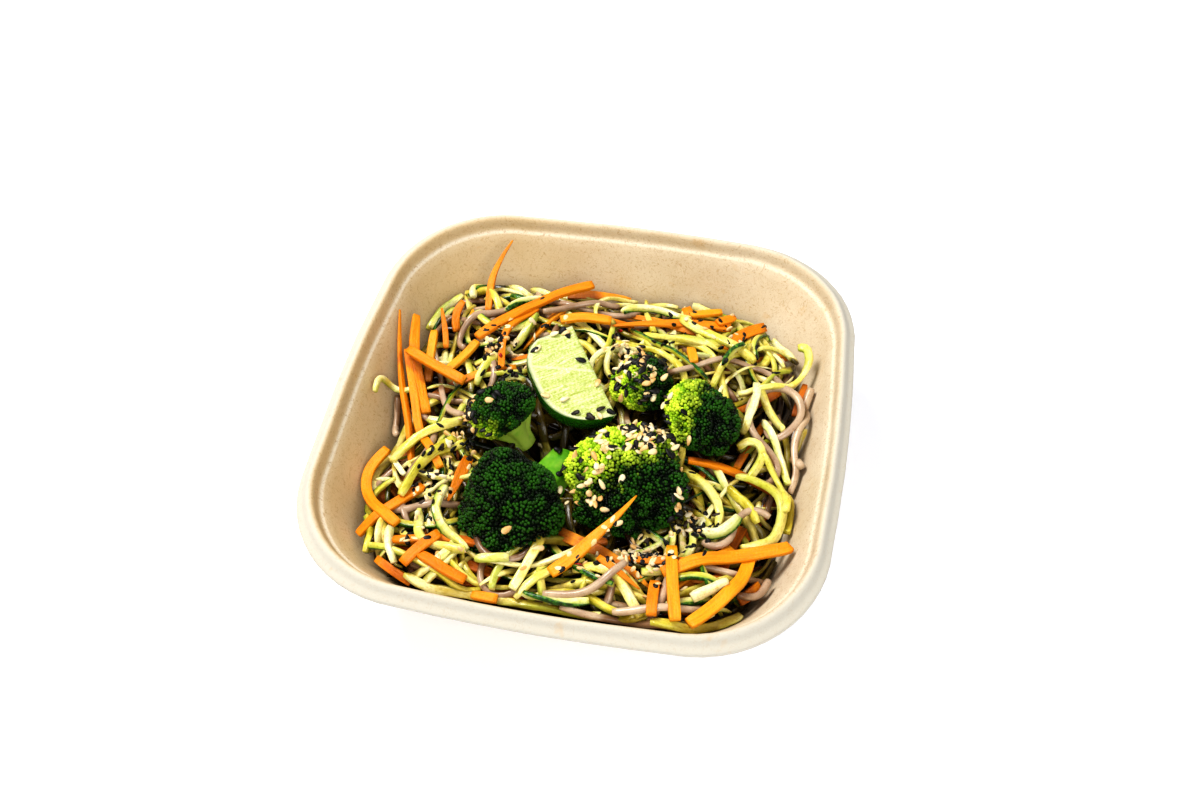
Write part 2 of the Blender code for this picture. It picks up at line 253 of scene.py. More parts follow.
def smooth_path(points, step):
    """Evenly stepped Catmull-Rom curve through the given points."""
    p = np.asarray(points, float)
    p = np.vstack([2 * p[0] - p[1], p, 2 * p[-1] - p[-2]])
    t = np.linspace(0, 1, 16, endpoint=False)[:, None]
    dense = [0.5 * (2 * b + (c - a) * t + (2 * a - 5 * b + 4 * c - d) * t ** 2
                    + (3 * b - a - 3 * c + d) * t ** 3)
             for a, b, c, d in zip(p, p[1:], p[2:], p[3:])]
    dense = np.vstack(dense + [p[-2]])
    run = run_along(dense)
    want = np.linspace(0, run[-1], max(int(run[-1] / step) + 1, 4))
    return np.stack([np.interp(want, run, dense[:, c]) for c in range(dense.shape[1])], axis=1)


def ease(values, reach):
    """Moving average with soft ends; reach is in points."""
    if reach < 1:
        return values
    window = np.hanning(2 * reach + 3)[1:-1]
    window /= window.sum()
    padded = np.concatenate([np.full(reach, values[0]), values, np.full(reach, values[-1])])
    return np.convolve(padded, window, mode="valid")


# ------------------------------------------------------------------ the tray
# half the lip's width, its corner radius, how far its sides bow out, and the sheet's thickness
LIP_HALF, CORNER, BOW, SHEET = 86.0, 43.6, 1.4, 1.2
# how far in the wall starts and how high; its slope; the bend to the floor; how corners tighten going in
WALL_TOP = (7.8, 43.2)
SLOPE = math.radians(64.0)
FILLET = 14.0
TIGHTENING = 0.6
SIDE_STEPS = CORNER_STEPS = 14
OUTLINE_POINTS = 4 * (SIDE_STEPS + CORNER_STEPS)
# the lip in section: how far in, how high
LIP = ((0.0, 45.6), (0.25, 46.25), (1.0, 46.75), (1.9, 47.0), (2.5, 47.9), (3.05, 49.1), (3.7, 49.8),
       (4.4, 50.0), (5.1, 49.5), (5.6, 48.1), (6.0, 46.2), (6.25, 45.0), (6.6, 44.45), (7.2, 44.2),
       (7.55, 43.8), WALL_TOP)
# the lip's crown and flank end here, and the narrow ledge inside it is here: how far in
CROWN_END, LEDGE = 5.2, 7.0


def wall_inset(height):
    """How far in from the lip's edge the inner face is, at a height in millimetres."""
    foot = WALL_TOP[0] + (WALL_TOP[1] - SHEET) / math.tan(SLOPE)
    centre = foot + FILLET * math.tan(SLOPE / 2)
    if height >= SHEET + FILLET * (1 - math.cos(SLOPE)):
        return WALL_TOP[0] + (WALL_TOP[1] - height) / math.tan(SLOPE)
    return centre - FILLET * math.sin(math.acos(1 - max(height - SHEET, 0.0) / FILLET))


def tray_outline(inset, shrink=1.0):
    """Rounded square with gently bowed sides."""
    half = LIP_HALF - inset
    radius = CORNER - TIGHTENING * inset
    straight = half - radius
    t = np.linspace(-1, 1, SIDE_STEPS, endpoint=False)
    a = np.linspace(0, math.pi / 2, CORNER_STEPS, endpoint=False)
    quarter = np.concatenate([np.stack([half + BOW * np.cos(t * math.pi / 2), straight * t], 1),
                              straight + radius * np.stack([np.cos(a), np.sin(a)], 1)])
    turns = [(1, 0), (0, 1), (-1, 0), (0, -1)]
    return shrink * np.concatenate([np.stack([quarter[:, 0] * c - quarter[:, 1] * s,
                                              quarter[:, 0] * s + quarter[:, 1] * c], 1) for c, s in turns])


def room_to_wall(xy, height):
    """How far each point lies inside the tray's inner face at its height."""
    half = LIP_HALF - np.array([wall_inset(min(h, WALL_TOP[1])) for h in np.atleast_1d(height)])
    radius = CORNER - TIGHTENING * (LIP_HALF - half)
    q = np.abs(xy) - (half - radius)[:, None]
    outside = np.linalg.norm(np.maximum(q, 0), axis=1)
    return radius - outside - np.minimum(q.max(axis=1), 0)


def keep_off_wall(path, clearance):
    """Push a path's points in until a strand of this half-width clears the wall."""
    path = path.copy()
    for _ in range(3):
        short = clearance - room_to_wall(path[:, :2], path[:, 2])
        if (short <= 0).all():
            break
        half = LIP_HALF - np.array([wall_inset(min(h, WALL_TOP[1])) for h in path[:, 2]])
        radius = CORNER - TIGHTENING * (LIP_HALF - half)
        q = np.abs(path[:, :2]) - (half - radius)[:, None]
        away = np.where((q > 0).all(axis=1)[:, None], np.maximum(q, 0),
                        np.eye(2)[np.argmax(q, axis=1)])
        away = unit(away) * np.sign(path[:, :2])
        path[:, :2] -= away * np.maximum(short, 0)[:, None] * 1.02
    return path


def offset_curve(points, distance):
    """The same profile on the sheet's other face."""
    ahead = unit(np.gradient(points, axis=0))
    return points - distance * np.stack([-ahead[:, 1], ahead[:, 0]], axis=1)


def moulded_bagasse():
    """Moulded bagasse: sugar-cane pulp pressed between meshes.

    The eye gets a dry, warm straw colour with soft cloudy patches, painted shade that darkens and
    yellows the wall's left side, a painted washout that greys the lip as strong light would, a painted
    highlight line along the ledge inside it, scattered darker fibres a couple of millimetres long and
    a faint felted tooth."""
    mat, add, shader = start_material("moulded_bagasse_pulp")
    place = add("TexCoord").outputs["Object"]
    cloud = add("TexNoise", {"Vector": place, "Scale": per_mm(26.0), "Detail": 4.0, "Roughness": 0.6})
    wall = add("ValToRGB", {"Fac": cloud}, stops=((0.30, colour("#C9B697")), (0.72, colour("#DFD2BB"))))
    # painted shade: the wall is darker and yellower towards its left side, which lies in shade
    across = add("SeparateXYZ", {"Vector": place})
    left_side_shade = add("Math", {0: across.outputs["X"], 1: -4.0, 2: 0.35}, operation="MULTIPLY_ADD",
                  use_clamp=True)
    left_shaded_wall = add("Mix", {"Factor": left_side_shade, FIRST: wall, SECOND: colour("#CFB078")}, data_type="RGBA")
    # painted light: the lip's crown and flank get a greyer colour, as strong light washes them out
    lip = add("Mix", {"Factor": read_mark(add)["Red"], FIRST: left_shaded_wall, SECOND: colour("#C4BEAF")},
              data_type="RGBA")
    # painted highlight: a pale line along the narrow ledge inside the lip
    with_ledge_highlight = add("Mix", {"Factor": read_mark(add)["Green"], FIRST: lip, SECOND: colour("#E4D9C2")},
                 data_type="RGBA")
    # fibres: thin flecks, about 2.5 mm long and 0.3 mm wide, lying in every direction
    bent = add("TexNoise", {"Vector": place, "Scale": per_mm(7.0), "Detail": 2.0})
    swirl = add("VectorMath", {0: bent.outputs["Color"], 1: (0.006, 0.006, 0.006)}, operation="MULTIPLY")
    moved = add("VectorMath", {0: place, 1: swirl}, operation="ADD")
    fibre = add("TexNoise", {"Vector": moved, "Scale": per_mm(1.1), "Detail": 3.0, "Roughness": 0.7,
                "Distortion": 1.5})
    fleck = add("ValToRGB", {"Fac": fibre}, stops=((0.53, BLACK), (0.66, WHITE)))
    # the flecks fade on the lip, as part of its painted washout
    lip_washout = add("Math", {0: read_mark(add)["Red"], 1: -0.40, 2: 0.58}, operation="MULTIPLY_ADD")
    dusk = add("Math", {0: fleck, 1: lip_washout}, operation="MULTIPLY")
    speckled = add("Mix", {"Factor": dusk, FIRST: with_ledge_highlight, SECOND: colour("#A98450")}, data_type="RGBA")
    # dressing soaked into the wall: a few faint ochre blots
    blot = add("TexNoise", {"Vector": place, "Scale": per_mm(11.0), "Detail": 3.0, "Roughness": 0.7})
    stain_and_shade_ramp = add("ValToRGB", {"Fac": blot}, stops=((0.64, BLACK), (0.72, WHITE)))
    soaked = add("Math", {0: stain_and_shade_ramp, 1: 0.30}, operation="MULTIPLY")
    stained = add("Mix", {"Factor": soaked, FIRST: speckled, SECOND: colour("#C79B55")}, data_type="RGBA")
    tooth = add("TexNoise", {"Vector": place, "Scale": per_mm(0.7), "Detail": 4.0, "Roughness": 0.65})
    bump = add("Bump", {"Height": tooth, "Strength": 0.4, "Distance": 0.0003})
    set_inputs(shader, {"Base Color": stained, "Normal": bump, "Roughness": 0.72, "IOR": 1.47,
               "Specular IOR Level": 0.35})
    return mat


def make_tray(material):
    """The tray, one pressed sheet: its lip, ledge, wall and floor, and the same again underneath."""
    lip = smooth_path(LIP, 0.55)
    lip = np.stack([ease(lip[:, c], 3) for c in range(2)], axis=1)
    wall = np.linspace(WALL_TOP[1], SHEET + FILLET * (1 - math.cos(SLOPE)), 14)[1:]
    bend = SHEET + FILLET * (1 - np.cos(SLOPE * (1 - np.linspace(0, 1, 9)[1:])))
    top = np.vstack([lip] + [[(wall_inset(h), h) for h in heights] for heights in (wall, bend)])
    under = offset_curve(top, SHEET)
    under[-1] = (under[-1][0], 0.0)
    under[0] = (0.1, top[0][1] - 0.9)
    under[:, 0] = np.maximum(under[:, 0], 0.1)
    skin = np.vstack([top[::-1], under])
    rings = [np.column_stack([tray_outline(d), np.full(OUTLINE_POINTS, z)]) for d, z in skin]
    # the floor, drawn in to its middle above and below
    floor = [[np.column_stack([tray_outline(wall_inset(SHEET), shrink), np.full(OUTLINE_POINTS, height)])
              for shrink in (0.7, 0.4, 0.15)] for height in (SHEET, 0.0)]
    rings = floor[0][::-1] + rings + floor[1]
    verts = np.concatenate(rings)
    # hand of the mould: the sheet is never quite true
    drift = np.array([noise.noise(Vector(v) * 0.021) for v in verts])
    fine = np.array([noise.noise(Vector(v) * 0.11 + Vector((9, 2, 5))) for v in verts])
    lift = np.clip(verts[:, 2] / 20, 0, 1)
    out = unit(np.column_stack([verts[:, :2], np.zeros(len(verts))]))
    verts = verts + out * ((drift * 0.5 + fine * 0.12) * lift)[:, None]
    verts[:, 2] += fine * 0.10 * lift
    quads, _, _, fans = loft_faces(len(rings), OUTLINE_POINTS)
    # marks: a painted washout on the lip's crown and flank, greyed as strong light would, and a painted
    # highlight line along the ledge inside it
    insets, levels = skin.T
    marks = np.zeros((len(verts) + 2, 4))
    lip_washout = np.clip((CROWN_END - insets) / 1.2, 0.0, 1.0) * (levels > 40.0)
    ledge_highlight = np.exp(-((insets - LEDGE) / 0.5) ** 2) * (levels > 43.0)
    on_skin = slice(3 * OUTLINE_POINTS, -3 * OUTLINE_POINTS - 2)
    marks[on_skin, 0] = np.repeat(lip_washout, OUTLINE_POINTS)
    marks[on_skin, 1] = np.repeat(ledge_highlight, OUTLINE_POINTS)
    marks[:, 3] = 1.0
    batch = Batch()
    batch.add(np.vstack([verts, [(0, 0, SHEET), (0, 0, 0)]]), marks, quads, None, fans)
    tray = batch.build("fibre_tray", material, "moulded_bagasse")
    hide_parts("tray")


# ------------------------------------------------------------------ the heap's height, strand by strand
EDGE_HEIGHT, CROWN_HEIGHT, UNEVENNESS, LUMP = 26.5, 38.0, 2.6, 13.0
# dips in the heap: middle, reach, depth
HOLLOWS = ((-10.0, -13.0, 11.0, 15.0), (-73.0, -10.0, 10.0, 6.0), (68.0, -66.0, 13.0, 11.0),
           (66.0, 60.0, 14.0, 3.0), (-66.0, -64.0, 15.0, 8.0))
# the heap is banked up against the front wall and falls off towards the back one
FRONT_BANK, BACK_FALL = 12.5, 3.0


def soft_step(x):
    """Nought to one with soft ends."""
    x = min(max(x, 0.0), 1.0)
    return x * x * (3 - 2 * x)


def heap_target(x, y):
    """Height the finished heap should reach at a point of the tray."""
    q = max(abs(x), abs(y))
    corner = math.hypot(max(abs(x) - 40, 0), max(abs(y) - 40, 0)) + 40
    share = min(max(q, corner) / 70.0, 1.0)
    p = Vector((x, y, 0.0)) / LUMP
    relief = UNEVENNESS * (noise.noise(p) * 1.5 + 0.7 * noise.noise(p * 2.3 + Vector((7, 3, 0))))
    height = CROWN_HEIGHT - (CROWN_HEIGHT - EDGE_HEIGHT) * share ** 2.4 + relief
    height += FRONT_BANK * soft_step((-42 - y) / 24) - BACK_FALL * soft_step((y - 44) / 20)
    for hx, hy, reach, depth in HOLLOWS:
        height -= depth * math.exp(-((x - hx) ** 2 + (y - hy) ** 2) / reach ** 2)
    return height


class Surface:
    """Height of the food under every point, raised as each strand is laid on it."""
    CELL = 0.6
    HALF = 84.0
    COARSE = 85      # points a side at which the heap's shape is worked out

    def __init__(self):
        self.n = int(2 * self.HALF / self.CELL) + 1
        coarse = np.linspace(-self.HALF, self.HALF, self.COARSE)
        grid = np.array([[heap_target(x, y) for y in coarse] for x in coarse])
        fine = np.linspace(-self.HALF, self.HALF, self.n)
        rows = np.stack([np.interp(fine, coarse, column) for column in grid.T], axis=1)
        self.target = np.stack([np.interp(fine, coarse, row) for row in rows])
        self.axis = fine
        self.height = self.target.copy()
        self.room = np.stack([room_to_wall(np.column_stack([np.full(self.n, x), fine]), self.target[i])
                              for i, x in enumerate(fine)])

    def cells(self, x, y):
        """Grid places of points of the tray."""
        return tuple(np.clip(((v + self.HALF) / self.CELL).round().astype(int), 0, self.n - 1) for v in (x,
                                                                                                         y))

    def at(self, grid, x, y):
        """One value of a grid, at a point of the tray."""
        return grid[int((x + self.HALF) / self.CELL + 0.5), int((y + self.HALF) / self.CELL + 0.5)]

    def under(self, xy, reach):
        """Highest food within reach of each point."""
        found = []
        for dx, dy in ((0, 0), (1, 0), (-1, 0), (0, 1), (0, -1), (.7, .7), (-.7, .7), (.7, -.7), (-.7, -.7)):
            i, j = self.cells(xy[:, 0] + dx * reach, xy[:, 1] + dy * reach)
            found.append(self.height[i, j])
        return np.max(found, axis=0)

    def spare(self, xy):
        """How far below the finished heap the food still is, on average along a path."""
        i, j = self.cells(xy[:, 0], xy[:, 1])
        return float((self.target[i, j] - self.height[i, j]).mean())

    def cover(self, reach):
        """Highest food within reach of every cell."""
        k = int(reach / self.CELL)
        high = self.height.copy()
        for axis in (0, 1):
            high = np.max([np.roll(high, s, axis) for s in range(-k, k + 1)], axis=0)
        return high

    def raise_under(self, path, half_width, half_height):
        """Take in a strand that has been laid: its rounded back is the new surface under its path."""
        run = run_along(path)
        want = np.arange(0, run[-1], 0.7)
        dense = np.stack([np.interp(want, run, path[:, c]) for c in range(3)], axis=1)
        k = int(half_width / self.CELL) + 1
        span = np.arange(-k, k + 1)
        i, j = self.cells(dense[:, 0], dense[:, 1])
        ii = np.clip(i[:, None, None] + span[None, :, None], 0, self.n - 1)
        jj = np.clip(j[:, None, None] + span[None, None, :], 0, self.n - 1)
        ii, jj = np.broadcast_arrays(ii, jj)
        away = np.hypot(self.axis[ii] - dense[:, 0, None, None], self.axis[jj] - dense[:, 1, None, None])
        dome = np.sqrt(np.clip(1 - (away / half_width) ** 2, 0, 1)) * half_height
        level = np.where(away < half_width, dense[:, 2, None, None] + dome, -1e3)
        np.maximum.at(self.height, (ii, jj), level)


def lay(surface, xy, half_width, half_height, stiffness, sink=0.45, arch=0.0, least=None):
    """Let a strand fall along a route: it rests on what is under it and bends as far as it can."""
    need = surface.under(xy, half_width * 0.7) + half_height * 0.92
    z = ease(need, stiffness)
    z = np.maximum(z, need - half_height * sink)
    z = ease(z, 2) + arch * np.sin(np.linspace(0, math.pi, len(z))) ** 2
    if least is not None:
        z = np.maximum(z, least)
    path = keep_off_wall(np.column_stack([xy, z]), half_width + 0.35)
    path = keep_off_wall(np.stack([ease(path[:, c], 2) for c in range(3)], axis=1), half_width + 0.1)
    surface.raise_under(path, half_width, half_height)
    return path


# spacing of a route's points, how near the wall turns a strand back, and the height its edge runs at
ROUTE_STEP, NEAR_WALL, EDGE_LEVEL = 2.2, 9.0, 30.0


def wander(rng, surface, start, heading, length, bend, curl):
    """A strand's route seen from above: steady bend with a slower curl over it, turned back at the walls."""
    steady = rng.gauss(0, bend)
    swing = abs(rng.gauss(0, curl))
    wave = rng.uniform(45, 85)
    phase = rng.uniform(0, 2 * math.pi)
    x, y = start
    route = [(x, y)]
    for k in range(int(length / ROUTE_STEP)):
        turn = steady + swing * math.sin(2 * math.pi * k * ROUTE_STEP / wave + phase)
        edge = surface.at(surface.room, x, y)
        if edge < NEAR_WALL:
            inward = math.atan2(-y, -x)
            if math.cos(inward - heading) < 0.12:
                turn += math.copysign(0.012 * (NEAR_WALL - edge), math.sin(inward - heading))
        heading += turn * ROUTE_STEP
        x += math.cos(heading) * ROUTE_STEP
        y += math.sin(heading) * ROUTE_STEP
        if surface.at(surface.room, x, y) < 1.3:
            break
        route.append((x, y))
    return np.array(route)


def follow_wall(rng, surface, length):
    """A route that runs round the heap's edge, close to the wall, and drifts in and out a little."""
    outline = smooth_path(tray_outline(wall_inset(EDGE_LEVEL)), ROUTE_STEP)
    i, j = surface.cells(outline[:, 0], outline[:, 1])
    gap = rng.uniform(1.4, 7.5)
    shift = np.array([wall_inset(EDGE_LEVEL) - wall_inset(min(h, 42.0)) for h in surface.target[i, j]]) - gap
    outline = outline + unit(outline) * shift[:, None]
    first = rng.randrange(len(outline))
    count = int(length * rng.uniform(0.5, 1.2) / ROUTE_STEP)
    route = outline[(first + np.arange(count)) % len(outline)]
    drift = 1 - np.abs(np.sin(np.linspace(0, rng.uniform(1.5, 5.0), count) + rng.uniform(0, 3))) * 0.07
    return route * drift[:, None]


# discs that strands keep out of: the gap between florets and lime, and what lies on top of the heap
KEPT_OPEN = ((-9.0, -13.0, 10.5),)
NO_CARROT = ((-6.0, -12.0, 20.0), (14.0, 8.0, 14.0))
UNDER_TOPPING = ((-17.5, -44.0, 14.0), (-27.4, -9.7, 9.0), (18.5, -26.5, 15.0), (37.6, 2.7, 10.0),
                 (15.6, 13.4, 8.0), (-2.4, 10.0, 13.0))
# where each kind gathers: x, y, reach, pull
GATHERINGS = {
    "soba": ((62, 6, 15, 2.6), (66, -46, 16, 2.6), (4, -70, 15, 1.8), (-44, 44, 16, 2.2), (-68, 8, 9, 1.5),
             (38, -52, 12, 1.2), (-20, 62, 14, 1.2)),
    "courgette": ((36, 40, 24, 2.4), (52, -16, 18, 2.2), (-44, -46, 18, 2.2), (14, -66, 18, 1.6),
                  (-52, -12, 14, 1.6), (0, 58, 18, 1.2), (70, 30, 12, 1.2)),
    "carrot": ((-60, 18, 20, 2.6), (-50, -28, 16, 2.0), (-34, -66, 12, 1.6), (-12, 60, 16, 1.6),
               (48, -58, 14, 1.6), (60, 28, 12, 1.0), (30, 62, 12, 1.2)),
}


def pull(kind, xy):
    """How strongly a kind gathers along a route."""
    mid = xy[len(xy) // 2]
    return sum(p * math.exp(-((mid[0] - x) ** 2 + (mid[1] - y) ** 2) / r ** 2)
               for x, y, r, p in GATHERINGS[kind])


def share_inside(xy, discs):
    """How much of a route crosses any of these discs (x, y, reach)."""
    inside = [np.hypot(xy[:, 0] - x, xy[:, 1] - y) < reach for x, y, reach in discs]
    return float(np.mean(np.any(inside, axis=0)))


# of the tries at a route, the first few run round the wall's foot instead of being wandered
TRIES, WALL_TRIES = 7, 3
# how strands of each kind run: length, steady bend and curl a millimetre
HABITS = {"soba": (105, 0.034, 0.055), "courgette": (62, 0.055, 0.036), "carrot": (42, 0.012, 0.008)}


def choose_route(rng, surface, kind, top):
    """Of several routes, the one that lies lowest and where its kind gathers.

    The top ones miss the florets and the lime."""
    length, bend, curl = HABITS[kind]
    best = None
    for attempt in range(TRIES):
        start, lowest = (0.0, 0.0), -1e3
        for _ in range(9):
            x, y = rng.uniform(-72, 72), rng.uniform(-72, 72)
            low = surface.at(surface.target, x, y) - surface.at(surface.height, x, y)
            if surface.at(surface.room, x, y) > 1.8 and low > lowest:
                start, lowest = (x, y), low
        heading = rng.uniform(0, 2 * math.pi)
        if surface.at(surface.room, *start) < NEAR_WALL:
            along_wall = math.atan2(start[0], -start[1])
            heading = along_wall + rng.choice((0, math.pi)) + rng.uniform(-0.3, 0.3)
        xy = wander(rng, surface, start, heading, length * rng.uniform(0.55, 1.3), bend, curl)
        if attempt < WALL_TRIES:
            xy = follow_wall(rng, surface, length)
        if len(xy) < 6:
            continue
        spare = surface.spare(xy)
        if spare < 0.5 or kind == "carrot" and share_inside(xy, NO_CARROT) > 0:
            continue
        score = spare + pull(kind, xy) - 90 * share_inside(xy, KEPT_OPEN)
        if top:
            score -= 18 * share_inside(xy, UNDER_TOPPING)
        if best is None or score > best[0]:
            best = (score, xy)
    return best[1] if best else None


def tapered(n, blunt):
    """Girth along a strand: full, with both ends drawn in a little."""
    girth = np.ones(n)
    girth[0] = girth[-1] = blunt
    if n > 6:
        girth[1] = girth[-2] = 1 - (1 - blunt) * 0.25
    return girth


def add_soba(batch, rng, path, thick=2.35):
    """Soba: cut square from the sheet, softened to rounded edges by boiling."""
    section = rounded_square(thick * rng.uniform(0.92, 1.12), thick * rng.uniform(0.85, 0.98), 0.75)
    roll = rng.uniform(0, 3) + np.linspace(0, rng.uniform(-2.5, 2.5), len(path))
    sweep(batch, path, roll, section, tapered(len(path), 0.8), rng.random())


def add_courgette(batch, rng, path, width=2.8, height=2.0, peel=None, point=1.0):
    """Courgette noodle: a spiral-cut string with flat faces; one edge is nearer the skin, or is the skin."""
    section = rounded_square(width, height, 0.32)
    outer = rng.choice((0.0, 0.1, 0.25, 0.4, 0.55, 0.7, 0.95, 1.0)) if peel is None else peel
    across = section[:, 0] / width + 0.5
    skin = outer * across ** 1.8
    roll = rng.uniform(-0.9, 0.9) + ease(np.array([rng.uniform(-1.2, 1.2) for _ in path]), 8) * 2.4
    girth = tapered(len(path), 0.8)
    girth = girth * (1 + 0.14 * ease(np.array([rng.uniform(-1, 1) for _ in path]), 2))
    girth = girth * np.linspace(1, point, len(path)) ** 0.8
    rough = np.array([[rng.gauss(0, 0.05) for _ in range(3)] for _ in path])
    sweep(batch, path + rough, roll, section, girth, rng.random(), skin)


def add_carrot(batch, rng, path, width=4.0, height=2.0, roll=0.0, point=1.0):
    """Carrot: a julienne strip with sharp knife-cut faces, sometimes run out to a point."""
    twist = roll + ease(np.array([rng.uniform(-0.35, 0.35) for _ in path]), 4)
    girth = tapered(len(path), 0.88)
    if point < 1.0:
        girth = girth * np.clip(np.linspace(point, 1.55, len(path)), 0, 1)
    sweep(batch, path, twist, knife_cut(width, height), girth, rng.random())


# the mixture: what is at the bottom, then what is on top, strand by strand
UNDER_MIX = ("soba", "courgette", "courgette") * 50 + ("carrot",) * 14
TOP_MIX = ("soba", "courgette", "courgette", "carrot", "courgette", "courgette", "courgette",
           "courgette") * 100


def fill_heap(rng, surface, batches):
    """Drop strand after strand until the heap has grown to its shape; gives the core's own height."""
    surface.height = surface.target - np.clip(3.2 + surface.room * 0.45, 3.2, 11.0)
    core = surface.height.copy()
    order = UNDER_MIX + TOP_MIX
    for number, kind in enumerate(order):
        top = number > 0.45 * len(order)
        arch = rng.uniform(1.0, 3.5) if rng.random() < 0.3 else 0.0
        xy = choose_route(rng, surface, kind, top)
        if xy is None:
            continue
        if kind == "soba":
            add_soba(batches[kind], rng, lay(surface, xy, 1.15, 1.05, 2, arch=arch))
        elif kind == "courgette":
            wide = rng.uniform(1.7, 3.0)
            path = smooth_path(lay(surface, xy, wide / 2, wide * 0.36, 2, arch=arch), 1.8 if top else 2.3)
            add_courgette(batches[kind], rng, path, wide, wide * rng.uniform(0.55, 0.85),
                          point=rng.choice((1.0, 1.0, 0.35)))
        else:
            wide = rng.uniform(2.6, 4.2)
            path = lay(surface, xy[::2], wide / 2, 0.9, 4)
            add_carrot(batches[kind], rng, path, wide, 1.6, rng.uniform(-0.5, 0.5),
                       rng.choice((1.0, 1.0, 0.2)))
    return core


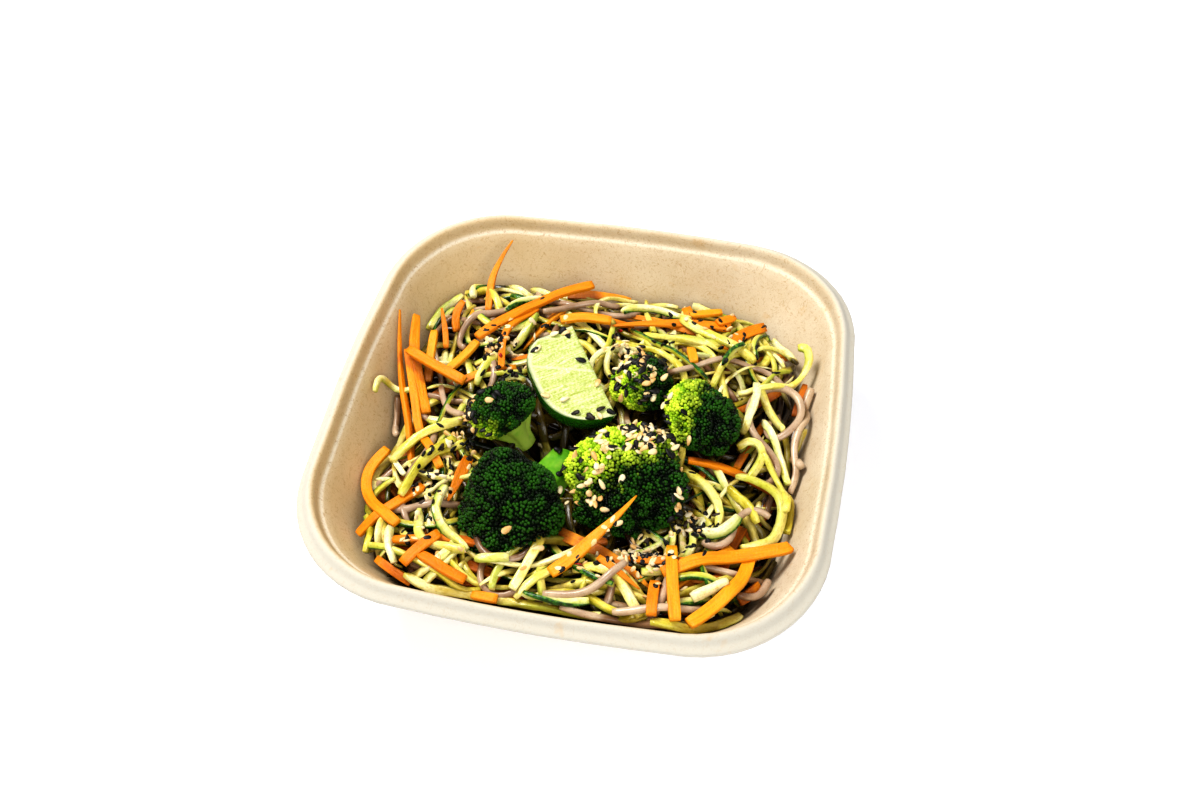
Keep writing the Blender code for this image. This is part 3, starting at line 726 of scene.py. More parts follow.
# strands that can be told apart on top: kind, width, peel or point, route in millimetres
MARKED_STRANDS = (
    ("carrot", 2.9, 0.7, ((-71, 19, 40), (-63, 1, 37.5), (-57, -13, 36), (-50, -22, 36), (-44, -30, 36))),
    ("carrot", 2.1, 0.4, ((-63.5, 39.5, 41.5), (-60, 31, 38), (-58, 24, 36))),
    ("carrot", 2.8, 0.7, ((-55.7, 44, 42), (-58.2, 38.4, 39), (-56, 32, 36))),
    ("carrot", 1.8, 0.25, ((-52, 41.7, 40), (-51, 35.3, 37))),
    ("carrot", 3.4, 0.9, ((-46, 27, 39), (-50, 20, 38.5), (-55, 12, 37.5))),
    ("carrot", 3.0, 0.9, ((-63.5, 30, 39.5), (-62.3, 19.5, 37), (-60.4, 8, 35))),
    ("carrot", 2.4, 0.8, ((-28.6, 47.4, 39), (-35.4, 36.8, 39.5), (-37.2, 27.8, 39), (-34.5, 14.3, 38))),
    ("carrot", 3.4, 0.9, ((-66.7, -57.8, 34), (-61, -52, 35), (-56, -47, 36), (-48, -36, 36.5))),
    ("carrot", 3.4, 0.9, ((-40.6, -66, 35.5), (-31.6, -69.8, 36.5), (-23, -72, 37.5))),
    ("carrot", 3.2, 0.9, ((29, 37, 38), (32, 28, 39))),
    ("carrot", 3.2, 0.9, ((25, 59, 33), (38, 63, 33))),
    ("carrot", 3.2, 0.7, ((43, 61, 34), (36, 54, 33))),
    ("carrot", 3.2, 0.6, ((71, 32, 36), (70, 24, 35), (69, 17, 34))),
    ("carrot", 3.6, 0.9, ((13, -47, 42), (15.6, -52, 40.5))),
    ("carrot", 2.2, 0.2, ((30.5, -66.5, 40), (22, -62.7, 41), (14.8, -58.4, 41))),
    ("carrot", 2.4, 0.7, ((21.4, -54.6, 39), (29, -53, 40.5), (36.8, -52.3, 41), (48, -51.5, 40))),
    ("soba", 2.4, 0, ((-38, 46, 37), (-51, 36, 37), (-54, 27, 37), (-50, 23, 36))),
    ("soba", 2.4, 0, ((0, 58, 34), (-14, 52, 35), (-27, 44, 36))),
    ("soba", 2.6, 0, ((-78, 4, 32), (-74, -5, 28), (-66, -12, 27))),
    ("soba", 2.6, 0, ((62, -14, 31), (66, -8, 34), (63, -2, 37), (56, 4, 39), (53, 12, 40), (55, 20, 40.5),
                      (61, 24, 41), (68, 22, 41), (71, 15, 40), (68, 8, 39), (63, 4, 37), (60, 8, 35),
                      (61, 14, 34))),
    ("soba", 2.6, 0, ((74, -14, 32), (72, -6, 35), (70, 2, 37), (71, 10, 38), (74, 16, 37), (75, 22, 34))),
    ("soba", 3.0, 0, ((77, 29, 38), (77, 20, 34), (74, 8, 30), (73, -6, 28))),
    ("soba", 2.6, 0, ((66, -28, 38), (60, -26, 39), (55, -31, 39), (54, -39, 39), (49, -43, 39),
                      (45, -41, 39))),
    ("soba", 2.5, 0, ((68, -49, 36), (65, -57, 36), (58, -59, 36))),
    ("soba", 2.4, 0, ((24, -57, 38), (23, -61, 37), (14, -70, 36), (0, -72, 36))),
    ("courgette", 2.9, 0.3, ((-40, -11, 41), (-49, -13, 40), (-55, -17, 39), (-60, -23, 37), (-62, -29, 35))),
    ("courgette", 2.7, 0.3, ((-38, -17, 40), (-48, -25, 38), (-53, -35, 37))),
    ("courgette", 2.2, 0.6, ((-79, -4, 41), (-79, 2, 42), (-76, 4, 39), (-72, 4, 35), (-64, 2, 33))),
    ("courgette", 2.8, 1.0, ((-40, 42, 36), (-38, 48, 36), (-34, 53, 36), (-28, 55, 36))),
    ("courgette", 2.8, 0.6, ((66, 42, 42), (69, 43, 43), (71, 40, 42), (71, 36, 40), (69, 32, 38),
                             (63, 24, 38),
                             (48, 20, 39))),
    ("courgette", 2.7, 1.0, ((1, 53, 34), (3, 56, 34), (12, 59, 34), (20, 57, 34), (27, 54, 35))),
    ("courgette", 3.2, 0.3, ((23, 53, 36), (32, 46, 36), (44, 41, 36), (53, 35, 36))),
    ("courgette", 2.6, 1.0, ((48, 41, 37), (44, 36, 37), (42, 28, 37))),
    ("courgette", 2.6, 0.4, ((51, -4, 40), (55, 0, 41), (60, -3, 40), (59, -10, 40), (56, -16, 39))),
    ("courgette", 2.8, 0.3, ((54, 25, 40), (55, 17, 40), (52, 2, 40))),
    ("courgette", 3.2, 0.4, ((52, -14, 38), (62, -16, 39), (68, -20, 38), (69, -29, 37), (66, -37, 37),
                             (57, -41, 38))),
    ("courgette", 2.8, 0.5, ((69, -15, 34), (74, -21, 34), (74, -27, 34), (71, -31, 34))),
    ("courgette", 3.4, 0.3, ((56, -57, 36), (45, -66, 36))),
    ("courgette", 3.6, 1.0, ((42, -39, 39), (51, -38, 39), (56, -31, 40))),
    ("courgette", 2.8, 0.3, ((-42, -17, 38), (-50, -28, 37), (-54, -44, 36))),
    ("courgette", 3.0, 1.0, ((-40, -37, 38), (-41, -46, 37), (-35, -55, 37), (-25, -62, 37))),
    ("courgette", 2.8, 0.4, ((-46, -47, 36), (-43, -58, 36), (-36, -62, 36), (-25, -63, 36))),
    ("courgette", 2.8, 0.3, ((-53, -56, 34), (-51, -64, 34), (-47, -70, 33))),
    ("courgette", 3.0, 0.3, ((-3, -54, 39), (-6, -63, 38), (-9, -73, 36))),
    ("courgette", 2.8, 0.6, ((-23, -65, 38), (-11, -63, 38))),
    ("courgette", 2.2, 0.2, ((79, 12, 37), (78, 8, 34), (76, 3, 31))),
    ("courgette", 2.8, 0.3, ((-44, -72, 37), (-36, -74.5, 38.5), (-24, -76.3, 39.5), (-10, -76.6, 39.5))),
    ("courgette", 2.6, 0.6, ((-16, -76.6, 39.5), (-4, -76.8, 40.5), (8, -76.8, 40.5), (20, -75, 40))),
    ("soba", 2.4, 0, ((6, -74.5, 39.5), (20, -76.6, 40), (32, -76.4, 40), (46, -74.5, 39), (55, -70, 37))),
    ("courgette", 2.8, 0.3, ((34, -76.4, 39), (46, -75, 38.5), (56, -71, 37.5), (63, -65, 36))),
    ("courgette", 2.4, 1.0, ((-6, -73, 40.5), (8, -74, 41), (16, -72, 40.5))),
    ("carrot", 3.0, 0.8, ((-22, -75.5, 39.5), (-12, -75.8, 40))),
    ("courgette", 2.6, 0.3, ((60, -4, 33), (66, -12, 34.5), (70, -20, 34), (70, -26, 33))),
    ("courgette", 2.8, 0.2, ((50, -18, 36), (57, -24, 37), (62, -31, 37))),
    ("courgette", 2.4, 0.6, ((58, 12, 33), (63, 4, 34), (67, -4, 34.5), (70, -12, 33))),
    ("courgette", 2.6, 0.3, ((55, 22, 35), (62, 14, 35), (66, 7, 34.5))),
)


def add_marked_strands(rng, surface, batches):
    """Lay the strands that can be told apart, each on its own route."""
    for kind, width, extra, route in MARKED_STRANDS:
        path = smooth_path(route, 1.8)
        thick = {"carrot": 1.5, "soba": width, "courgette": width * 0.66}[kind]
        path = lay(surface, path[:, :2], width / 2, thick / 2, 5, 0.2, least=path[:, 2] - 0.8)
        if kind == "carrot":
            add_carrot(batches[kind], rng, path, width, thick, rng.uniform(-0.3, 0.3), extra)
        elif kind == "soba":
            add_soba(batches[kind], rng, path, width)
        else:
            add_courgette(batches[kind], rng, path, width, thick, extra)


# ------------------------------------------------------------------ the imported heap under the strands
CORE_SINK, CORE_FOOT = 0.6, SHEET + 0.4


def make_core(core, surface, material):
    """The salad's dark inside, which only shows as depth between strands."""
    edge = np.zeros((OUTLINE_POINTS, 3))
    for k, way in enumerate(tray_outline(wall_inset(24.0))):
        for reach in np.arange(1.12, 0.8, -0.01):
            x, y = way * reach
            z = surface.at(core, x, y) - CORE_SINK
            if room_to_wall(np.array([(x, y)]), [z])[0] > 0.9:
                break
        edge[k] = x, y, z
    rings = []
    # up the sides, a little clear of the wall
    for share, drawn_in in ((0.0, 0.4), (0.0, 1.0), (0.55, 1.0), (0.8, 1.0)):
        z = CORE_FOOT + (edge[:, 2] - CORE_FOOT) * share
        ring = np.stack([tray_outline(wall_inset(h) + 0.9)[k] for k, h in enumerate(z)])
        rings.append(np.column_stack([ring * drawn_in, z]))
    # and in over the top
    for share in np.linspace(1.0, 0.05, 26):
        xy = edge[:, :2] * share
        rings.append(np.column_stack([xy, core[surface.cells(*xy.T)] - CORE_SINK]))
    quads, _, _, fans = loft_faces(len(rings), OUTLINE_POINTS)
    ends = [(0, 0, CORE_FOOT), (0, 0, surface.at(core, 0, 0) - CORE_SINK)]
    batch = Batch()
    batch.add(np.vstack(rings + [ends]), (0, 0, 0, 1), quads, None, fans)
    heap = batch.build("heap_core", material, "dressed_noodles")
    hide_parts("noodle_heap")


def dressed_core():
    """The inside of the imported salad: wet noodles in shade, so very dark olive brown and soft."""
    mat, add, shader = start_material("dressed_salad_in_shade")
    place = add("TexCoord").outputs["Object"]
    tangle = add("TexNoise", {"Vector": place, "Scale": per_mm(5.0), "Detail": 3.0})
    shade = add("ValToRGB", {"Fac": tangle}, stops=((0.35, colour("#2A1C0A")), (0.65, colour("#5C4618"))))
    set_inputs(shader, {"Base Color": shade, "Roughness": 0.5, "Specular IOR Level": 0.3})
    return mat


def boiled_soba():
    """Boiled soba: buckwheat and wheat dough, cut, boiled and rinsed cold.

    The eye gets a slippery taupe string with a wet shine, a little light carried inside it and
    fine darker specks of hull."""
    mat, add, shader = start_material("boiled_buckwheat_soba")
    mark = read_mark(add)
    place = add("TexCoord").outputs["Object"]
    cloud = add("TexNoise", {"Vector": place, "Scale": per_mm(6.0), "Detail": 3.0})
    blend = add("Math", {0: mark["Red"], 1: 0.6, 2: cloud}, operation="MULTIPLY_ADD")
    tone = add("ValToRGB", {"Fac": blend}, stops=((0.35, colour("#937458")), (0.70, colour("#B2967A")),
               (1.0, colour("#CBB292"))))
    # hull specks, about 0.25 mm, drawn at 0.5 mm so that they show
    speck = add("TexNoise", {"Vector": place, "Scale": per_mm(0.5), "Detail": 2.0})
    dark = add("ValToRGB", {"Fac": speck}, stops=((0.60, BLACK), (0.72, (0.5, 0.5, 0.5, 1))))
    mixed = add("Mix", {"Factor": dark, FIRST: tone, SECOND: colour("#54392A")}, data_type="RGBA")
    soft = add("TexNoise", {"Vector": place, "Scale": per_mm(1.6), "Detail": 2.0})
    bump = add("Bump", {"Height": soft, "Strength": 0.25, "Distance": 0.0003})
    # the base colour carries painted shade, darker and browner deep in the heap
    set_inputs(shader, {"Base Color": painted_depth_shade(add, mixed, mark["Blue"], "#BCA48C", "#3C2A1C"),
               "Normal": bump, "Roughness": 0.30, "IOR": 1.42, "Subsurface Weight": 0.15,
               "Subsurface Radius": (0.9, 0.6, 0.4), "Subsurface Scale": 0.001, "Coat Weight": 0.30,
               "Coat Roughness": 0.15})
    return mat


def spiral_cut_courgette():
    """Raw courgette, spiral-cut: pale wet flesh that turns green towards the skin, and strips of peel.

    The eye gets cream to yellow-green flesh that glows a little, coarse blade lines along the
    string, and deep green peel with paler flecks."""
    mat, add, shader = start_material("spiral_cut_courgette")
    mark = read_mark(add)
    place = add("TexCoord").outputs["Object"]
    patch = add("TexNoise", {"Vector": place, "Scale": per_mm(7.0), "Detail": 4.0})
    tone = add("Math", {0: mark["Red"], 1: 0.55, 2: patch}, operation="MULTIPLY_ADD")
    flesh = add("ValToRGB", {"Fac": tone}, stops=((0.30, colour("#B2A224")), (0.50, colour("#DACC4A")),
                (0.72, colour("#EEE282")), (0.92, colour("#F7F0B8"))))
    near_skin = add("ValToRGB", {"Fac": mark["Green"]}, stops=((0.10, BLACK), (0.62, (0.75, 0.75, 0.75, 1))))
    greener = add("Mix", {"Factor": near_skin, FIRST: flesh, SECOND: colour("#9CB02A")}, data_type="RGBA")
    fleck = add("TexNoise", {"Vector": place, "Scale": per_mm(1.3), "Detail": 2.0})
    peel = add("ValToRGB", {"Fac": fleck}, stops=((0.40, colour("#123608")), (0.58, colour("#2F6A14")),
               (0.75, colour("#7FA834"))))
    edge = add("ValToRGB", {"Fac": mark["Green"]}, stops=((0.66, BLACK), (0.80, WHITE)))
    both = add("Mix", {"Factor": edge, FIRST: greener, SECOND: peel}, data_type="RGBA")
    # blade lines about 0.5 mm apart, running along the string, over a pulpy grain
    along = add("UVMap", uv_map="cut")
    lines = add("Mapping", {"Vector": along, "Scale": (0.35, 2.0, 1.0)})
    blade = add("TexNoise", {"Vector": lines, "Scale": 1.0, "Detail": 3.0})
    pulp = add("TexNoise", {"Vector": place, "Scale": per_mm(0.9), "Detail": 3.0})
    rough = add("Math", {0: blade, 1: pulp}, operation="ADD")
    seam = add("ValToRGB", {"Fac": rough}, stops=((0.72, colour("#D6CE9C")), (1.0, WHITE)))
    lined = add("Mix", {"Factor": 0.8, FIRST: both, SECOND: seam}, data_type="RGBA", blend_type="MULTIPLY")
    bump = add("Bump", {"Height": rough, "Strength": 0.5, "Distance": 0.0003})
    # the base colour carries painted shade, darker and browner deep in the heap
    set_inputs(shader, {"Base Color": painted_depth_shade(add, lined, mark["Blue"], "#D6C88C", "#4C3E14"),
               "Normal": bump, "Roughness": 0.28, "IOR": 1.36, "Coat Weight": 0.25, "Coat Roughness": 0.12,
               "Subsurface Weight": 0.25, "Subsurface Radius": (0.8, 0.9, 0.25),
               "Subsurface Scale": 0.0015})
    return mat


def julienned_carrot():
    """Raw carrot, julienned: crisp flat cuts with a moist satin face.

    The eye gets a saturated orange with slightly paler core streaks along the strip and a fine
    fibrous grain."""
    mat, add, shader = start_material("julienned_raw_carrot")
    mark = read_mark(add)
    place = add("TexCoord").outputs["Object"]
    along = add("UVMap", uv_map="cut")
    # fibres run along the strip: 0.8 mm across, 12 mm long
    grain = add("Mapping", {"Vector": along, "Scale": (0.10, 1.5, 1.0)})
    fibre = add("TexNoise", {"Vector": grain, "Scale": 1.0, "Detail": 5.0, "Roughness": 0.7})
    tone = add("Math", {0: mark["Red"], 1: 0.35, 2: fibre}, operation="MULTIPLY_ADD")
    orange = add("ValToRGB", {"Fac": tone}, stops=((0.35, colour("#D26C00")), (0.62, colour("#E98700")),
                 (0.90, colour("#F4A516"))))
    pits = add("TexNoise", {"Vector": place, "Scale": per_mm(0.8), "Detail": 3.0})
    relief = add("Math", {0: fibre, 1: pits}, operation="ADD")
    bump = add("Bump", {"Height": relief, "Strength": 0.8, "Distance": 0.0004})
    # the base colour carries painted shade, darker and browner deep in the heap
    set_inputs(shader, {"Base Color": painted_depth_shade(add, orange, mark["Blue"], "#D8C4A8", "#5A4430"),
               "Normal": bump, "Roughness": 0.42, "IOR": 1.37, "Subsurface Weight": 0.06,
               "Subsurface Radius": (1.0, 0.45, 0.08), "Subsurface Scale": 0.0008})
    return mat


# ------------------------------------------------------------------ broccoli
# crown: its middle, radius, height, the way it faces and how many lobes it has
# stalk: its length, radius, how far it bends up, and how pale it is
# pale_way and pale_share: where the crown's younger, yellower side faces, and how much of it that is
# stretch: how far the crown is drawn out across and along, and how square it is
Floret = namedtuple("Floret", "name middle radius height facing lobes stalk stalk_radius stalk_bend "
                              "stalk_tone pale_way pale_share stretch")
FLORETS = (
    Floret("front", (-15.6, -46.2, 41.8), 18.0, 14.5, (-0.25, -0.86, 0.46), 15, 32.0, 6.3, 9.5, 0.1,
           (0.2, 1.0, -0.4), 0.02, (0.92, 1.24, 0.12)),
    Floret("left", (-27.4, -8.8, 46.6), 11.8, 9.5, (-0.52, 0.20, 0.83), 9, 15.0, 4.0, 0.0, 1.0,
           (-0.45, -0.85, -0.35), 0.22, (1.0, 1.0, 0.05)),
    Floret("middle", (17.6, -25.4, 42.0), 19.4, 14.5, (0.10, -0.20, 0.97), 16, 18.0, 6.0, 0.0, 0.1,
           (-0.62, 0.72, 0.3), 0.52, (1.02, 1.0, 0.06)),
    Floret("right", (38.0, 3.2, 43.0), 13.0, 11.0, (0.42, -0.15, 0.89), 10, 15.0, 4.4, 0.0, 0.1,
           (-0.95, 0.15, 0.2), 0.42, (0.95, 1.08, 0.0)),
    Floret("back", (15.8, 14.8, 43.2), 10.6, 10.5, (0.05, -0.12, 0.99), 8, 14.0, 3.8, 0.0, 2.0909,
           (-0.9, -0.3, 0.1), 0.46, (1.0, 1.0, 0.0)),
)


def even_ways(count, low):
    """Directions spread evenly over a dome that reaches down to this height of a unit ball."""
    golden = math.pi * (3 - math.sqrt(5))
    k = np.arange(count)
    up = 1 - (k + 0.35) * (1 - low) / count
    across = np.sqrt(np.clip(1 - up * up, 0, 1))
    return np.stack([across * np.cos(k * golden), across * np.sin(k * golden), up], axis=1)


# area of one curd, and spacing of the buds
CURD_AREA, BUD_PITCH = 17.0, 1.0


class Crown:
    """The shape of one floret's head: lobes, and smaller curds on the lobes."""

    def __init__(self, row):
        self.radius, self.height, self.stretch = row.radius, row.height, row.stretch
        self.relief = 1.0 + 1.6 * row.pale_share
        self.origin = np.array([0, 0, -0.35 * self.radius])
        self.lobes = even_ways(row.lobes, 0.0)
        self.lobe_reach = 1.9 / math.sqrt(row.lobes)
        curds = int(2 * math.pi * self.radius ** 2 / CURD_AREA)
        jitter = np.random.default_rng(row.lobes).normal(0, 0.04, (curds, 3))
        self.curds = unit(even_ways(curds, -0.35) + jitter)
        self.curd_reach = 1.75 / math.sqrt(curds / 1.35)

    def point(self, ways):
        """Skin points and outward ways for these directions from the crown's middle."""
        across, along, square = self.stretch
        turn = np.arctan2(ways[:, 1], ways[:, 0])
        ways = ways * np.stack([1 + square * np.sin(2 * turn) ** 2] * 2 + [np.ones(len(turn))], axis=1)
        wide = np.tile([self.radius * across, self.radius * along], (len(ways), 1))
        base = ways * np.column_stack([wide, np.where(ways[:, 2] > 0, self.height, 0.42 * self.radius)])
        arm = base - self.origin
        away = unit(arm)
        # no head is a true dome
        bulge = np.array([noise.noise(Vector(v) * 1.9 + Vector((self.radius, 0, 0))) for v in away]) * 0.15
        lobe = np.arccos(np.clip(away @ self.lobes.T, -1, 1)).min(axis=1)
        nearness = np.clip(1 - (lobe / self.lobe_reach) ** 2, 0, 1)
        to_curd = np.arccos(np.clip(away @ self.curds.T, -1, 1))
        curd = to_curd.min(axis=1)
        swell = np.clip(1 - (curd / self.curd_reach) ** 2, 0, 1)
        scale = 1.01 + bulge - self.relief * (0.07 * (1 - nearness) + 0.05 * (1 - swell))
        skin = self.origin + arm * scale[:, None]
        depth = np.linalg.norm(skin - self.origin, axis=1) - 0.30 * self.radius
        heart = self.origin + self.curds[to_curd.argmin(axis=1)] * depth[:, None]
        outward = unit(unit(skin - heart) + 0.6 * away)
        return skin, outward, nearness, swell


BUD_RINGS = ((0.52, -0.28), (0.50, 0.26))


def bud_template():
    """One flower bud: a little six-sided dome."""
    verts = []
    for r, h in BUD_RINGS:
        verts += [(r * math.cos(a), r * math.sin(a), h) for a in np.linspace(0, 2 * math.pi, 6,
                                                                             endpoint=False)]
    verts.append((0, 0, 0.66))
    quads = [(i, (i + 1) % 6, 6 + (i + 1) % 6, 6 + i) for i in range(6)]
    tris = [(6 + i, 6 + (i + 1) % 6, 12) for i in range(6)]
    return np.array(verts), np.array(quads), np.array(tris)


def scatter(batch, template, places, outward, sizes, spins, marks):
    """Set copies of a small thing on a surface, all at once."""
    verts, quads, tris = template
    helper = np.where(np.abs(outward[:, 2:]) < 0.9, [[0.0, 0.0, 1.0]], [[1.0, 0.0, 0.0]])
    east = unit(np.cross(helper, outward))
    north = np.cross(outward, east)
    c, s = np.cos(spins)[:, None], np.sin(spins)[:, None]
    east, north = east * c + north * s, north * c - east * s
    scaled = verts[None] * sizes[:, None]
    made = (places[:, None] + scaled[:, :, :1] * east[:, None] + scaled[:, :, 1:2] * north[:, None]
            + scaled[:, :, 2:] * outward[:, None])
    count, per = len(places), len(verts)
    step = (np.arange(count) * per)[:, None, None]
    batch.add(made.reshape(-1, 3), np.repeat(marks, per, axis=0), (quads[None] + step).reshape(-1, 4), None,
              (tris[None] + step).reshape(-1, 3))


AROUND_FLORET, CROWN_RINGS = 64, 26


def floret_flesh(row, crown, turn, pale):
    """The head's flesh under the buds, and the stalk, fluted where its branches join the head."""
    turns = np.linspace(0, 2 * math.pi, AROUND_FLORET, endpoint=False)
    rings, tones = [], []
    for a in np.linspace(-0.62, math.pi / 2 - 0.04, CROWN_RINGS):
        ways = np.stack([np.cos(a) * np.cos(turns), np.cos(a) * np.sin(turns),
                         np.full(AROUND_FLORET, np.sin(a))], 1)
        skin, outward, near, swell = crown.point(ways)
        rings.append(skin - outward * 0.6)
        tones.append(near * 0.5 + swell * 0.5)
    flutes = 0.09 * np.cos(5 * turns + 1.0) + 0.05 * np.cos(8 * turns)
    stem = []
    # from the stalk's cut end up: radius, height, how deep the flutes are
    for r, h, flute in ((row.stalk_radius * 0.86, -row.stalk, 0.3),
                        (row.stalk_radius * 0.95, -row.stalk + 0.3, 0.4),
                        (row.stalk_radius * 0.98, -row.stalk * 0.86, 0.5),
                        (row.stalk_radius, -row.stalk * 0.72, 0.7),
                        (row.stalk_radius * 1.15, -0.76 * row.radius, 1.0),
                        (row.stalk_radius * 1.50, -0.56 * row.radius, 1.2),
                        (row.radius * 0.60, -0.40 * row.radius, 1.3)):
        wide = r * (1 + flutes * flute)
        stem.append(np.stack([wide * np.cos(turns), wide * np.sin(turns), np.full(AROUND_FLORET, h)], 1))
    top = crown.point(np.array([[0.0, 0.0, 1.0]]))[0]
    local = np.vstack(stem + rings + [[(0, 0, -row.stalk)], top])
    quads, _, _, fans = loft_faces(len(stem) + CROWN_RINGS, AROUND_FLORET)
    # marks: how much it is stalk, its tone, and how far it is on the pale side
    stalk_points = len(stem) * AROUND_FLORET
    marks = np.zeros((len(local), 4))
    marks[:stalk_points, :2] = 1.0, row.stalk_tone
    marks[stalk_points:stalk_points + 3 * AROUND_FLORET, 0] = 0.7
    marks[stalk_points:-2, 1] = np.concatenate(tones)
    marks[:, 2] = np.clip((local @ pale) / row.radius * 0.5 + 0.5, 0, 1)
    marks[:, 3] = 1
    world = local @ turn.T + np.array(row.middle)
    down = np.clip(-local[:, 2] / row.stalk - 0.25, 0, 1)
    bend = row.stalk_bend * (down / 0.75) ** 1.5
    world[:, 2] += bend
    world[:, 0] += 0.3 * bend
    batch = Batch()
    batch.add(world, marks, quads, None, fans)
    return batch


def floret_buds(row, crown, turn, pale):
    """Buds, packed over the whole head."""
    rng = np.random.default_rng(row.lobes * 31 + int(row.radius * 10))
    area = 2 * math.pi * row.radius * (row.radius + row.height) / 2 * 1.35
    count = int(area / (BUD_PITCH ** 2 * 0.80))
    ways = even_ways(count, -0.45)
    ways = unit(ways + rng.normal(0, 0.25 * BUD_PITCH / row.radius, ways.shape))
    skin, outward, near, swell = crown.point(ways)
    side = np.clip((unit(skin) @ pale) * 0.5 + 0.5, 0, 1)
    patches = np.array([noise.noise(Vector(v) * 0.22) for v in skin]) * 0.55
    paleness = (side - (1 - row.pale_share) + 0.35 * patches) * 3.4 + rng.normal(0, 0.16, count)
    paleness = np.clip(paleness, 0, 1)
    sizes = BUD_PITCH * rng.uniform(0.82, 1.12, count) * (1 + 0.18 * paleness)
    lift = rng.uniform(-0.12, 0.26, count)
    skin = skin + outward * lift[:, None]
    outward = unit(outward + rng.normal(0, 0.22, outward.shape))
    # marks: how pale a bud is, how far it stands out of the creases (the less, the more painted shade it
    # gets), and its own tone
    marks = np.stack([paleness, 0.45 * near + 0.55 * swell, rng.random(count), np.ones(count)], 1)
    batch = Batch()
    scatter(batch, bud_template(), skin @ turn.T + np.array(row.middle), outward @ turn.T,
            np.stack([sizes, sizes, sizes * rng.uniform(0.8, 1.25, count)], 1), rng.uniform(0, 6, count),
            marks)
    return batch


def make_floret(row, bud_material, stalk_material):
    """One floret: its flesh and stalk, which stand for the solid, and its buds."""
    crown = Crown(row)
    turn = np.array(Vector(row.facing).normalized().to_track_quat("Z", "Y").to_matrix())
    pale = unit(np.array(row.pale_way, float) @ turn)
    flesh = floret_flesh(row, crown, turn, pale)
    flesh = flesh.build("broccoli_" + row.name + "_stalk", stalk_material, "blanched_broccoli")
    buds = floret_buds(row, crown, turn, pale)
    buds = buds.build("broccoli_" + row.name + "_buds", bud_material, "blanched_broccoli")
    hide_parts("broccoli_floret_" + row.name)
    return [flesh, buds]


def broccoli_buds():
    """Blanched broccoli buds: tight green beads, each about 1.2 mm.

    The eye gets painted shade, very dark green in the creases and brighter green on the swells,
    yellow-green on the younger side, and a small wet glint on each bead."""
    mat, add, shader = start_material("blanched_broccoli_buds")
    mark = read_mark(add)
    # painted shade: buds deep in the creases are painted near-black, those on the swells brighter
    crease_shade_and_tone = add("Math", {0: mark["Blue"], 1: 0.35, 2: mark["Green"]}, operation="MULTIPLY_ADD")
    dark = add("ValToRGB", {"Fac": crease_shade_and_tone}, stops=((0.42, colour("#010400")), (0.78, colour("#091E02")),
               (1.0, colour("#225208"))))
    young = add("ValToRGB", {"Fac": crease_shade_and_tone}, stops=((0.38, colour("#3A7A08")), (0.70, colour("#94C014")),
                (0.98, colour("#D4EA3E"))))
    both = add("Mix", {"Factor": mark["Red"], FIRST: dark, SECOND: young}, data_type="RGBA")
    set_inputs(shader, {"Base Color": both, "Roughness": 0.34, "IOR": 1.38, "Specular IOR Level": 0.25,
               "Subsurface Weight": 0.05, "Subsurface Radius": (0.3, 0.6, 0.15),
               "Subsurface Scale": 0.0008})
    return mat


def broccoli_stalk():
    """Blanched broccoli stalk: smooth, waxy skin over crisp pale flesh.

    The eye gets a bright translucent green on the stalk, paler along its ridges, and painted shade,
    near-black green, where the flesh shows between buds."""
    mat, add, shader = start_material("blanched_broccoli_stalk")
    mark = read_mark(add)
    place = add("TexCoord").outputs["Object"]
    streak = add("TexNoise", {"Vector": place, "Scale": per_mm(4.0), "Detail": 3.0})
    tone = add("Math", {0: mark["Green"], 1: 0.5, 2: streak}, operation="MULTIPLY_ADD")
    green = add("ValToRGB", {"Fac": tone}, stops=((0.30, colour("#3C8A12")), (0.60, colour("#6FAA2A")),
                (0.95, colour("#A9BE52"))))
    # painted shade: the head's flesh, which shows only in the gaps between buds, is painted near-black green
    under = add("ValToRGB", {"Fac": mark["Blue"]},
                stops=((0.55, colour("#010C02")), (0.95, colour("#3E7A0C"))))
    both = add("Mix", {"Factor": mark["Red"], FIRST: under, SECOND: green}, data_type="RGBA")
    bump = add("Bump", {"Height": streak, "Strength": 0.2, "Distance": 0.0004})
    # waxy on the stalk, dull and shaded between the buds
    gloss = add("Math", {0: mark["Red"], 1: -0.6, 2: 0.9}, operation="MULTIPLY_ADD")
    set_inputs(shader, {"Base Color": both, "Normal": bump, "Roughness": gloss, "Specular IOR Level": 0.25,
               "IOR": 1.38, "Subsurface Weight": 0.25, "Subsurface Radius": (0.5, 0.9, 0.2),
               "Subsurface Scale": 0.002})
    return mat


# ------------------------------------------------------------------ lime
LIME_MIDDLE = np.array([-0.4, 11.0, 53.5])
LIME_ALONG = unit(np.array([0.560, -0.810, -0.170]))
LIME_FACE = np.array([-0.79, -0.58, -0.10])      # from the core to the rind, along the face that shows
LIME_RADIUS, LIME_HALF_LENGTH, LIME_ANGLE = 20.4, 20.0, math.radians(62.0)
# its two ends, as shares of half its length: one is cut blunt
LIME_BLUNT, LIME_TIP = -0.88, 0.995
# points along it, from core to rind, and round the rind
LIME_SECTIONS, LIME_RADIAL, LIME_ARC = 46, 16, 22
PITH_FADE = 8.0


